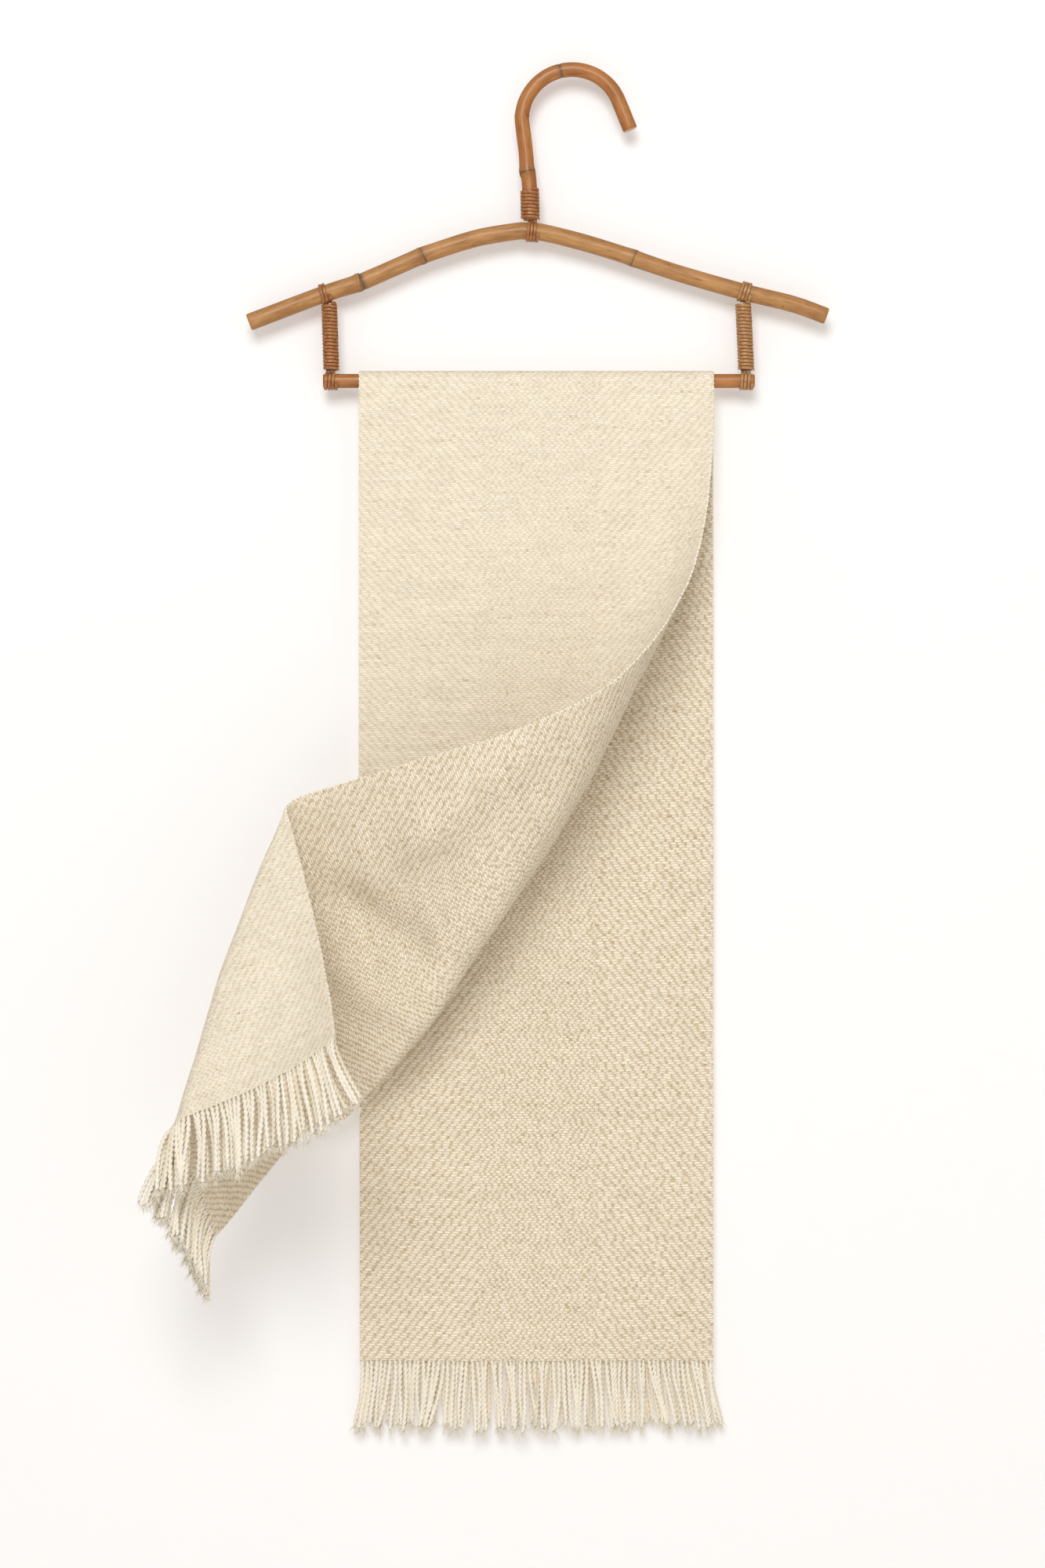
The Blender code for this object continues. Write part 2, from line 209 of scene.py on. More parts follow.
def palePaint(name, colour, glow):
    return newMaterial(name, {
        "Roughness": stage["roughness"], "Base Color": (*colour, 1.0),
        "Emission Color": (1.0, 1.0, 1.0, 1.0), "Emission Strength": glow,
    })


def oneSidedPaint():  # the wall is open from behind, so the scarf's back can be looked at
    material, tree, shader = palePaint("pale wall paint", stage["wallPale"], stage["wallGlow"])
    clear = addNode(tree, "ShaderNodeBsdfTransparent")
    side = addNode(tree, "ShaderNodeNewGeometry").outputs["Backfacing"]
    both = addNode(tree, "ShaderNodeMixShader", {0: side, 1: shader.outputs[0], 2: clear.outputs[0]})
    feed(both.outputs[0], tree.nodes["Material Output"].inputs["Surface"])
    return material


def makeStage():
    palePlane("pale_floor", (0, 0, stage["floorZ"]), (0, 0, 0), palePaint("pale paint", stage["pale"], 0.0)[0])
    wall = palePlane("pale_wall", (0, stage["wallY"], 0), (math.pi / 2, 0, 0), oneSidedPaint())
    wall.visible_diffuse = False
    wall.visible_glossy = False
    wall.visible_shadow = False

    world = bpy.data.worlds.new("studio")
    world.use_nodes = True
    background = world.node_tree.nodes["Background"]
    background.inputs["Color"].default_value = (*stage["worldColour"], 1.0)
    background.inputs["Strength"].default_value = stage["worldStrength"]
    bpy.context.scene.world = world
    bpy.context.scene.view_settings.view_transform = "Standard"


def addLamp(row):
    data = bpy.data.lights.new(row["name"], "AREA")
    data.shape = "DISK"
    data.size = stage["lampSize"]
    data.energy = row["power"]
    data.color = row["colour"]
    light = addObject(row["name"], data)
    light.location = row["place"]
    light.rotation_euler = (Vector(row["target"]) - Vector(row["place"])).to_track_quat("-Z", "Y").to_euler()


def makeCamera():
    data = bpy.data.cameras.new("front")
    data.sensor_fit = "VERTICAL"
    data.sensor_height = stage["sensor"]
    data.lens = stage["sensor"] * abs(stage["cameraAt"][1]) / stage["frameHeight"]
    camera = addObject("front", data)
    camera.location = stage["cameraAt"]
    camera.rotation_euler = (math.pi / 2, 0, 0)
    bpy.context.scene.camera = camera


makeStage()
makeCamera()
for row in lamps:
    addLamp(row)
print("stage: floor, wall,", len(lamps), "lights, camera")


# The scarf: flat cloth bent to its place

scarf = {
    "width": 0.255,
    "leg": 0.707,  # from the rod's centre line to the fringe
    "wall": 0.0017,
    "left": -0.1525,
    "rodZ": -0.2188,
    "rodToCloth": 0.0064,
    "rowStep": 0.0035,
    "columns": 64,
    "arcRows": 7,
    "edgeColumns": (0.0, 0.0006, 0.0017),  # the first ones in from a selvedge
}
rodArc = scarf["rodToCloth"] * math.pi / 2
clothEnd = rodArc + scarf["leg"]

# A row is a straight line across the flat cloth of the front leg, from the right selvedge to the left, both measured
# down from the rod, and how far the cloth has turned towards the front when it gets there.
foldRows = (
    dict(right=0.0023, left=0.540, turn=0),
    dict(right=0.0237, left=0.544, turn=21),
    dict(right=0.2427, left=0.549, turn=113),
    dict(right=0.3336, left=0.553, turn=176),
    dict(right=0.4906, left=0.562, turn=183),
    dict(right=0.5075, left=0.595, turn=116),
    dict(right=0.5097, left=0.851, turn=114),
    dict(right=0.5160, left=0.912, turn=17),
    dict(right=0.5250, left=0.974, turn=13),
    dict(right=0.7084, left=1.067, turn=44),
)
pulls = (  # places where the handwoven cloth has given a little on the bias
    dict(across=0.0, down=0.707, reach=0.125, shift=(0.006, -0.010, 0.020)),
    dict(across=0.000, down=0.560, reach=0.155, shift=(-0.008, 0.000, 0.019)),
    dict(across=0.090, down=0.400, reach=0.150, shift=(-0.010, -0.006, 0.000)),
    dict(across=0.050, down=0.500, reach=0.090, shift=(0.000, -0.012, 0.000)),
)
bulges = (
    dict(row=1.0, lastRow=3.0, left=0.0, right=1.0, height=-0.015),
    dict(row=4.2, lastRow=7.0, left=0.48, right=1.0, height=0.006),
)
smallBends = 12  # straight bends that make up the turn between two rows
closer = {4: 2.2, 6: 2.4}  # how much closer the sheet's lines lie after rows that bend hard
longWaves = ((0.21, 0.0007), (0.13, 0.0005), (0.083, 0.0004), (0.052, 0.00022), (0.034, 0.00012))  # length, height

# Soft creases of the front leg, in flat cloth: from one point to another, across from the left selvedge and down from
# the rod. Depth is towards the obverse, so it's negative where the reverse side stands out.
creases = (
    dict(across=0.250, down=0.335, acrossEnd=0.198, downEnd=0.432, width=0.024, depth=-0.0140),
    dict(across=0.206, down=0.410, acrossEnd=0.172, downEnd=0.478, width=0.014, depth=-0.0030),
    dict(across=0.186, down=0.502, acrossEnd=0.106, downEnd=0.436, width=0.015, depth=0.0075),
    dict(across=0.140, down=0.520, acrossEnd=0.070, downEnd=0.472, width=0.019, depth=-0.0060),
    dict(across=0.250, down=0.395, acrossEnd=0.215, downEnd=0.480, width=0.012, depth=0.0016),
    dict(across=0.215, down=0.520, acrossEnd=0.090, downEnd=0.585, width=0.016, depth=0.0022),
    dict(across=0.030, down=0.130, acrossEnd=0.120, downEnd=0.360, width=0.032, depth=-0.0010),
    dict(across=0.140, down=0.190, acrossEnd=0.205, downEnd=0.060, width=0.020, depth=-0.0010),
    dict(across=0.245, down=0.560, acrossEnd=0.175, downEnd=0.660, width=0.020, depth=0.0025),
    dict(across=0.230, down=0.600, acrossEnd=0.240, downEnd=0.690, width=0.014, depth=-0.0018),
)
backCreases = (
    dict(across=0.020, down=0.180, acrossEnd=0.120, downEnd=0.400, width=0.030, depth=-0.0012),
    dict(across=0.240, down=0.300, acrossEnd=0.130, downEnd=0.560, width=0.026, depth=-0.0014),
    dict(across=0.060, down=0.585, acrossEnd=0.150, downEnd=0.650, width=0.016, depth=-0.0016),
    dict(across=0.040, down=0.655, acrossEnd=0.110, downEnd=0.690, width=0.011, depth=0.0011),
    dict(across=0.130, down=0.640, acrossEnd=0.205, downEnd=0.600, width=0.013, depth=0.0012),
    dict(across=0.175, down=0.700, acrossEnd=0.255, downEnd=0.610, width=0.016, depth=-0.0026),
)


def turned(points, origin, axis, angle):
    arm = points - origin
    cosine = np.cos(angle)[:, None]
    sine = np.sin(angle)[:, None]
    along = (arm @ axis)[:, None] * axis[None, :]
    return origin + arm * cosine + np.cross(axis[None, :], arm) * sine + along * (1 - cosine)


def bendLines():
    found = []
    for first, last in zip(foldRows[:-1], foldRows[1:]):
        angle = math.radians(last["turn"] - first["turn"]) / smallBends
        for step in range(smallBends):
            lines = []
            for share in (step / smallBends, (step + 1) / smallBends):
                right = first["right"] + (last["right"] - first["right"]) * share
                left = first["left"] + (last["left"] - first["left"]) * share
                lines += [right, left]
            found.append((*lines, angle))
    return found


def overRod(placed, across, down, outward, side):
    above = down < 0
    angle = -down[above] / scarf["rodToCloth"]
    reach = scarf["rodToCloth"] + outward[above]
    placed[above, 0] = scarf["left"] + across[above]
    placed[above, 1] = side * reach * np.cos(angle)
    placed[above, 2] = scarf["rodZ"] + reach * np.sin(angle)
    return placed


def smoothStep(value, start, end):
    share = np.clip((value - start) / (end - start), 0, 1)
    return share * share * (3 - 2 * share)


def creaseHeight(across, down, table):
    total = np.zeros_like(down)
    for row in table:
        start = np.array([row["across"], row["down"]])
        run = np.array([row["acrossEnd"], row["downEnd"]]) - start
        length = np.linalg.norm(run)
        run = run / length
        offset = np.stack([across, down], 1) - start
        along = offset @ run
        away = offset @ np.array([-run[1], run[0]])
        fade = smoothStep(along, -0.2 * length, 0.25 * length) * (1 - smoothStep(along, 0.75 * length, 1.2 * length))
        total += row["depth"] * fade * np.exp(-((away / row["width"]) ** 2))
    return total


def slightWaves(across, down, seed):  # a few long soft waves, all of other lengths
    random = np.random.default_rng(seed)
    total = np.zeros_like(down)
    for wavelength, height in longWaves:
        for turn in random.uniform(0, math.pi, 2):
            phase = random.uniform(0, math.tau)
            travel = across * math.cos(turn) + down * math.sin(turn)
            total += height * 0.7 * np.sin(math.tau * travel / wavelength + phase)
    return total


def bulgeHeight(share, row):
    total = np.zeros_like(row)
    for place in bulges:
        over = np.clip((row - place["row"]) / (place["lastRow"] - place["row"]), 0, 1)
        beside = np.clip((share - place["left"]) / (place["right"] - place["left"]), 0, 1)
        total += place["height"] * np.sin(math.pi * over) ** 2 * np.sin(math.pi * beside)
    return total


def hangFront(across, down, outward):
    across, down, outward = (np.asarray(value, float) for value in (across, down, outward))
    middle = np.stack([across, np.zeros_like(across), -down], 1)
    lifted = middle + np.array([0.0, -1.0, 0.0])
    row = np.zeros_like(down)
    width = scarf["width"]
    for right, left, rightEnd, leftEnd, angle in reversed(bendLines()):
        before = down - (left + (right - left) * across / width)
        after = down - (leftEnd + (rightEnd - leftEnd) * across / width)
        passed = np.clip(before / np.maximum(before - after, 1e-9), 0, 1)
        rightMid = (right + rightEnd) / 2
        leftMid = (left + leftEnd) / 2
        axis = np.array([width, 0.0, leftMid - rightMid])
        axis /= np.linalg.norm(axis)
        origin = np.array([width, 0.0, -rightMid])
        middle = turned(middle, origin, axis, -passed * angle)
        lifted = turned(lifted, origin, axis, -passed * angle)
        row += passed / smallBends
    normal = lifted - middle
    fade = smoothStep(down, 0.03, 0.14)
    waves = fade * slightWaves(across, down, 5) + creaseHeight(across, down, creases)
    placed = middle + normal * (outward + bulgeHeight(across / width, row) + waves)[:, None]
    for pull in pulls:
        away = np.hypot(across - pull["across"], down - pull["down"]) / pull["reach"]
        placed += (np.clip(1 - away ** 2, 0, 1) ** 2)[:, None] * np.array(pull["shift"])
    placed += np.array([scarf["left"], -scarf["rodToCloth"], scarf["rodZ"]])
    return overRod(placed, across, down, outward, -1.0)


def hangBack(across, down, outward):
    across, down, outward = (np.asarray(value, float) for value in (across, down, outward))
    fade = smoothStep(down, 0.05, 0.30)
    share = across / scarf["width"]
    sway = 0.0012 * np.sin(math.tau * (share * 0.8 + down * 1.9))
    sway += 0.0009 * np.sin(math.tau * (share * 1.7 - down * 2.8))
    waves = fade * (sway + slightWaves(across, down, 9)) + creaseHeight(across, down, backCreases) - 0.0012 * fade
    placed = np.stack([scarf["left"] + across, scarf["rodToCloth"] + outward + waves, scarf["rodZ"] - down], 1)
    return overRod(placed, across, down, outward, 1.0)


def hang(across, along, outward):
    # along runs over the rod's top, which is 0: down the front where positive, down the back where negative
    across, along, outward = (np.asarray(value, float).ravel() for value in (across, along, outward))
    front = along >= 0
    placed = np.zeros((len(along), 3))
    placed[front] = hangFront(across[front], along[front] - rodArc, outward[front])
    placed[~front] = hangBack(across[~front], -along[~front] - rodArc, outward[~front])
    return placed


def sheetRows():
    # every row of the sheet's grid as (right, left), from the back fringe over the rod to the front one
    step = scarf["rowStep"]
    backCount = int(clothEnd / step)
    backLines = [(-clothEnd * (1 - share),) * 2 for share in np.linspace(0, 1, backCount + 1)]
    arc = [(value, value) for value in np.linspace(0, rodArc, scarf["arcRows"] + 1)[1:]]
    lines = []
    previous = dict(right=0.0, left=0.0)
    for number, row in enumerate(foldRows):
        longest = max(row["right"] - previous["right"], row["left"] - previous["left"])
        count = max(4, int(longest / step * closer.get(number - 1, 1.0)))
        for share in np.linspace(0, 1, count + 1)[1:]:
            right = previous["right"] + (row["right"] - previous["right"]) * share
            left = previous["left"] + (row["left"] - previous["left"]) * share
            lines.append((right + rodArc, left + rodArc))
        previous = row
    return backLines + arc + lines


def sheetGrid():
    rows = np.array(sheetRows())
    right, left = rows[:, :1], rows[:, 1:]
    edge = np.array(scarf["edgeColumns"]) / scarf["width"]
    inner = np.linspace(edge[-1], 1 - edge[-1], scarf["columns"])[1:-1]
    side = np.concatenate([edge, inner, 1 - edge[::-1]])[None, :]
    shortest = np.where(left > clothEnd, (left - clothEnd) / np.maximum(left - right, 1e-6), 0.0)
    share = shortest + (1 - shortest) * side
    along = np.minimum(left + (right - left) * share, clothEnd)
    across = share * scarf["width"]
    thickness = np.ones_like(side)
    thickness[0, [0, -1]], thickness[0, [1, -2]] = 0.45, 0.85  # thinner towards the selvedges
    thickness = np.repeat(thickness, len(rows), 0)
    thickness[[0, -1]] *= 0.6
    return across, along, thickness


def makeSheet(name, material):
    across, along, thickness = sheetGrid()
    rowCount, columnCount = across.shape
    half = thickness.ravel() * scarf["wall"] / 2
    top = hang(across, along, half)
    bottom = hang(across, along, -half)
    below = rowCount * columnCount
    number = np.arange(below).reshape(rowCount, columnCount)
    quads = np.stack([number[:-1, :-1], number[:-1, 1:], number[1:, 1:], number[1:, :-1]], 2).reshape(-1, 4)
    border = np.concatenate([number[0, :-1], number[:-1, -1], number[-1, :0:-1], number[:0:-1, 0]])
    after = np.roll(border, -1)
    walls = np.stack([border, border + below, after + below, after], 1)
    faces = np.concatenate([quads, quads[:, ::-1] + below, walls])

    mesh = bpy.data.meshes.new(name)
    mesh.from_pydata(np.concatenate([top, bottom]).tolist(), [], faces.tolist())
    corners = np.zeros(len(mesh.loops), int)
    mesh.loops.foreach_get("vertex_index", corners)
    flat = np.tile(np.stack([across.ravel(), along.ravel()], 1), (2, 1))[corners]
    mesh.uv_layers.new(name="flat").data.foreach_set("uv", flat.astype(np.float32).ravel())
    mesh.polygons.foreach_set("use_smooth", np.ones(len(mesh.polygons), bool))
    mesh.update()
    reverse = mesh.attributes.new("reverse", "FLOAT", "POINT")
    reverse.data.foreach_set("value", np.repeat([0.0, 1.0], below).astype(np.float32))
    turnNormalsOutward(mesh)
    sheet = addObject(name, mesh)
    mesh.materials.append(material)
    return sheet


# The weave: weft floats in a twill that runs one way at the left and the other way at the right

weave = {
    "pick": 0.00161,  # from one weft row to the next at the front, where the weaver beat it closer
    "pickBack": 0.00180,
    "repeat": 0.0059,  # one float and its gap, across
    "repeatMiddle": 0.0044,
    "shortestFloat": 0.66,  # of the repeat
    "floatSpread": 0.20,
    "slip": (0.07, 0.12, 0.17),  # of the repeat that a row may slip by, in each third
    "zoneLeft": 0.086,
    "zoneRight": 0.170,
    "wanderAlong": ((32.0, 0.0030), (260.0, 0.0013)),  # a noise's scale, and how far it moves the rows
    "wanderAcross": ((55.0, 0.0020), (310.0, 0.0016)),
    "light": (0.870, 0.805, 0.680),
    # painted shade: the tan that the gaps between the weft floats are darkened to
    "dark": (0.44, 0.325, 0.175),
    "fleck": (0.30, 0.19, 0.07),
    "open": 0.40,  # how much painted shade darkens the gaps between the floats
    "openReverse": 0.30,  # and how much more on the reverse side
    "relief": 0.0006,
}


def wandering(place, flat, table):
    for scale, reach in table:
        place = plus(place, timesPlus(noiseAt(flat, scale), reach, -reach / 2))
    return place


def roundedAcross(share, power):  # 1 in the middle of a range from 0 to 1, and 0 at its ends
    return minus(1.0, calc("POWER", calc("ABSOLUTE", timesPlus(share, 2.0, -1.0)), power), clamp=True)


def weftFloats(tree, across, along):
    # the twill rises at the left, falls at the right, and is broken up in the middle
    atRight = calc("GREATER_THAN", across, weave["zoneRight"])
    inMiddle = times(calc("GREATER_THAN", across, weave["zoneLeft"]), calc("LESS_THAN", across, weave["zoneRight"]))
    atBack = calc("LESS_THAN", along, 0.0)
    rows = calc("DIVIDE", along, switched(atBack, weave["pick"], weave["pickBack"]))
    pick = calc("FLOOR", rows)
    place = calc("DIVIDE", across, switched(inMiddle, weave["repeat"], weave["repeatMiddle"]))
    turn = calc("FLOORED_MODULO", pick, 4.0)
    swap = minus(calc("LESS_THAN", turn, 0.5), calc("GREATER_THAN", turn, 2.5))
    start = times(switched(inMiddle, pick, timesPlus(swap, 3.0, pick)), 0.25)

    left, middle, right = weave["slip"]
    most = switched(atRight, switched(inMiddle, left, middle), right)
    rowPlace = combined(X=times(across, 26.0), Y=times(pick, 5.17))
    slip = stretchedRange(noiseAt(rowPlace, 1.0, detail=1.0), 0.3, 0.7)
    side = timesPlus(atRight, -2.0, 1.0)
    travel = plus(minus(times(place, side), start), times(timesPlus(slip, 2.0, -1.0), most))

    own = combined(X=calc("FLOOR", travel), Y=pick)
    chances = addNode(tree, "ShaderNodeTexWhiteNoise", {"Vector": own}, noise_dimensions="3D")
    chance = chances.outputs["Value"]
    other = addNode(tree, "ShaderNodeSeparateColor", {"Color": chances.outputs["Color"]}).outputs["Green"]
    length = timesPlus(chance, weave["floatSpread"], weave["shortestFloat"])
    shift = times(other, minus(1.0, length))
    share = calc("DIVIDE", minus(calc("FRACT", travel), shift), length)
    weft = times(roundedAcross(share, 3.0), roundedAcross(calc("FRACT", rows), 2.0))
    return weft, pick, chance


def clothMaterial():
    material, tree, shader = newMaterial("cream handwoven twill", {
        "Roughness": 0.85, "Sheen Weight": 0.2, "Specular IOR Level": 0.25,
    })
    flat = flatPlace(tree, "flat")
    split = addNode(tree, "ShaderNodeSeparateXYZ", {"Vector": flat})
    reverse = storedValue(tree, "reverse")
    along = wandering(split.outputs["Y"], flat, weave["wanderAlong"])
    across = wandering(split.outputs["X"], flat, weave["wanderAcross"])
    weft, pick, chance = weftFloats(tree, across, along)

    # handspun yarn: each row has its own tone, with thick and thin places along it
    tone = addNode(tree, "ShaderNodeTexWhiteNoise", {"W": pick}, noise_dimensions="1D").outputs["Value"]
    thick = noiseAt(combined(X=times(across, 42.0), Y=times(pick, 7.31)), 1.0, detail=3.0)
    mottle = noiseAt(flat, 46.0, detail=5.0, rough=0.7)
    grain = noiseAt(flat, 700.0)
    fullness = plus(times(thick, 0.5), timesPlus(chance, 0.40, times(grain, 0.9)))
    shown = times(weft, fullness, clamp=True)

    # painted shade in the gaps between the weft floats, stronger on the reverse side and where the yarn runs thick
    streak = times(stretchedRange(thick, 0.56, 0.72), 0.25)
    depth = plus(timesPlus(reverse, weave["openReverse"], weave["open"]), streak)
    gapShade = times(minus(1.0, calc("POWER", shown, 0.55)), depth)
    colour = blendColour(times(gapShade, timesPlus(grain, 1.6, 0.2)), weave["light"], weave["dark"])
    uneven = plus(times(tone, 0.30), plus(mottle, timesPlus(chance, 0.45, times(grain, 0.5))))
    # painted light: the reverse side, which shows on the back leg and the turned stretch, is made a little lighter; the
    # rest of this scale is the yarn's uneven tone
    colour = vectorScaled(colour, timesPlus(uneven, 0.17, timesPlus(reverse, 0.05, 0.85)))
    colour = blendColour(times(rareSpecks(flat, 75.0, 0.06, 0.97), 0.6), colour, weave["fleck"])

    fibres = noiseAt(flat, 2600.0)
    height = times(timesPlus(fibres, 0.16, shown), timesPlus(reverse, 0.35, 0.65))
    finishShader(shader, colour, height, 0.8, weave["relief"])
    return material


# Geometry Nodes helpers

def newTree(name, sockets):
    tree = bpy.data.node_groups.new(name, "GeometryNodeTree")
    tree.interface.new_socket("Geometry", in_out="INPUT", socket_type="NodeSocketGeometry")
    for kind, labels in sockets.items():
        for label in labels:
            tree.interface.new_socket(label, in_out="INPUT", socket_type="NodeSocket" + kind)
    tree.interface.new_socket("Geometry", in_out="OUTPUT", socket_type="NodeSocketGeometry")
    return tree, tree.nodes.new("NodeGroupInput").outputs


def finishTree(tree, geometry, material):
    real = addNode(tree, "GeometryNodeRealizeInstances", {"Geometry": geometry})
    smooth = addNode(tree, "GeometryNodeSetShadeSmooth", {"Geometry": real.outputs[0]})
    painted = addNode(tree, "GeometryNodeSetMaterial", {"Geometry": smooth.outputs[0], "Material": material})
    feed(painted.outputs[0], tree.nodes.new("NodeGroupOutput").inputs[0])
    return tree


def grown(thing, tree, values):
    # runs a tree on an object and keeps the result as a plain mesh
    modifier = thing.modifiers.new("grow", "NODES")
    modifier.node_group = tree
    for socket in tree.interface.items_tree:
        if socket.item_type == "SOCKET" and socket.in_out == "INPUT" and socket.name in values:
            modifier[socket.identifier] = values[socket.name]
    graph = bpy.context.evaluated_depsgraph_get()
    mesh = bpy.data.meshes.new_from_object(thing.evaluated_get(graph))
    name = thing.name
    bpy.data.objects.remove(thing)
    mesh.name = name
    return addObject(name, mesh)


def pathObject(name, points, edges=(), attributes=None):
    mesh = bpy.data.meshes.new(name)
    mesh.from_pydata([tuple(point) for point in points], list(edges), [])
    for key, (kind, values) in (attributes or {}).items():
        layer = mesh.attributes.new(key, kind, "POINT")
        field = "vector" if kind == "FLOAT_VECTOR" else "value"
        layer.data.foreach_set(field, np.asarray(values, np.float32).ravel())
    return addObject(name, mesh)


def randomScale(tree, source, low, high):
    scale = addNode(tree, "FunctionNodeRandomValue", {2: low, 3: high}, data_type="FLOAT")
    feed(source["Seed"], scale.inputs["Seed"])
    return scale.outputs[1]


# Fringe: plied yarns that leave the cloth along its warp and then hang

fringe = {
    "strands": 74,
    "behindStrands": 56,
    "length": 0.051,
    "width": 0.0033,
    "plyPitch": 0.0075,
    "step": 0.0011,
    "bends": 20,  # along a strand
    "behind": 0.0026,  # how far back the second layer hangs
    "behindLoose": 0.45,  # how freely that layer hangs, against the first
    "fall": 0.016,  # the length over which a strand turns from the warp's direction to straight down
    "farthestBack": 0.0112,
    "clump": 3,  # strands that lean together
    "clumpLean": 0.07,
    "fibres": 14,  # loose ones at each tip
    "fibreThick": 0.00034,
    "fibreThin": 0.00006,
    "fray": 0.0062,
    "light": (0.98, 0.94, 0.85),
    "dark": (0.90, 0.84, 0.71),
    # painted shade: the tan that the back layer of strands and the strands' upper parts are darkened to
    "inside": (0.80, 0.69, 0.51),
}


def fringeRoutes(first, last, end, seed, splay, inner=False):
    # splay is how far the strands lean out at the first and the last edge, and how fast that fades inward
    random = np.random.default_rng(seed + (50 if inner else 0))
    side = 1 if end > 0 else -1
    count = round(fringe["behindStrands" if inner else "strands"] * (last - first) / scarf["width"])
    loose = fringe["behindLoose"] if inner else 1.0
    across = np.linspace(first, last, count + 1)[:-1] + (last - first) / count / 2
    across += random.normal(0, 0.0003, count)
    inside = hang(across, np.full(count, end - side * 0.006), np.zeros(count))
    root = hang(across, np.full(count, end - side * 0.002), np.zeros(count))
    warp = (root - inside) / np.linalg.norm(root - inside, axis=1)[:, None]
    normal = hang(across, np.full(count, end - side * 0.002), np.full(count, 0.001)) - root
    normal /= np.linalg.norm(normal, axis=1)[:, None]
    steps = fringe["bends"]
    routes = []
    pull = 0.0
    for number in range(count):
        if number % fringe["clump"] == 0:
            pull = random.normal(0, fringe["clumpLean"]) * loose
        share = number / max(count - 1, 1)
        lean = splay[1] * share ** splay[2] - splay[0] * (1 - share) ** splay[2]
        length = fringe["length"] * random.uniform(0.90, 1.02) * (0.96 if inner else 1.0)
        away = warp[number] + random.normal(0, 0.10, 3) * loose + normal[number] * random.normal(0.04, 0.10) * loose
        away /= np.linalg.norm(away)
        hangDirection = np.array([lean + pull + random.normal(0, 0.05) * loose, random.normal(0, 0.05), -1.0])
        wave, phase = random.uniform(0.04, 0.12), random.uniform(0, math.tau)
        point = root[number].copy()
        if inner:
            point[1] += fringe["behind"]
        points = [point.copy()]
        for step in range(steps):
            gone = (step + 0.5) / steps * length
            held = math.exp(-gone / fringe["fall"])
            swing = np.array([wave * math.sin(gone / 0.011 + phase), wave * 0.7 * math.cos(gone / 0.013 + phase), 0.0])
            direction = away * held + (hangDirection + swing) * (1 - held)
            direction /= np.linalg.norm(direction)
            point = point + direction * length / steps
            point[1] = min(point[1], fringe["farthestBack"])
            points.append(point.copy())
        routes.append(points)
    return routes


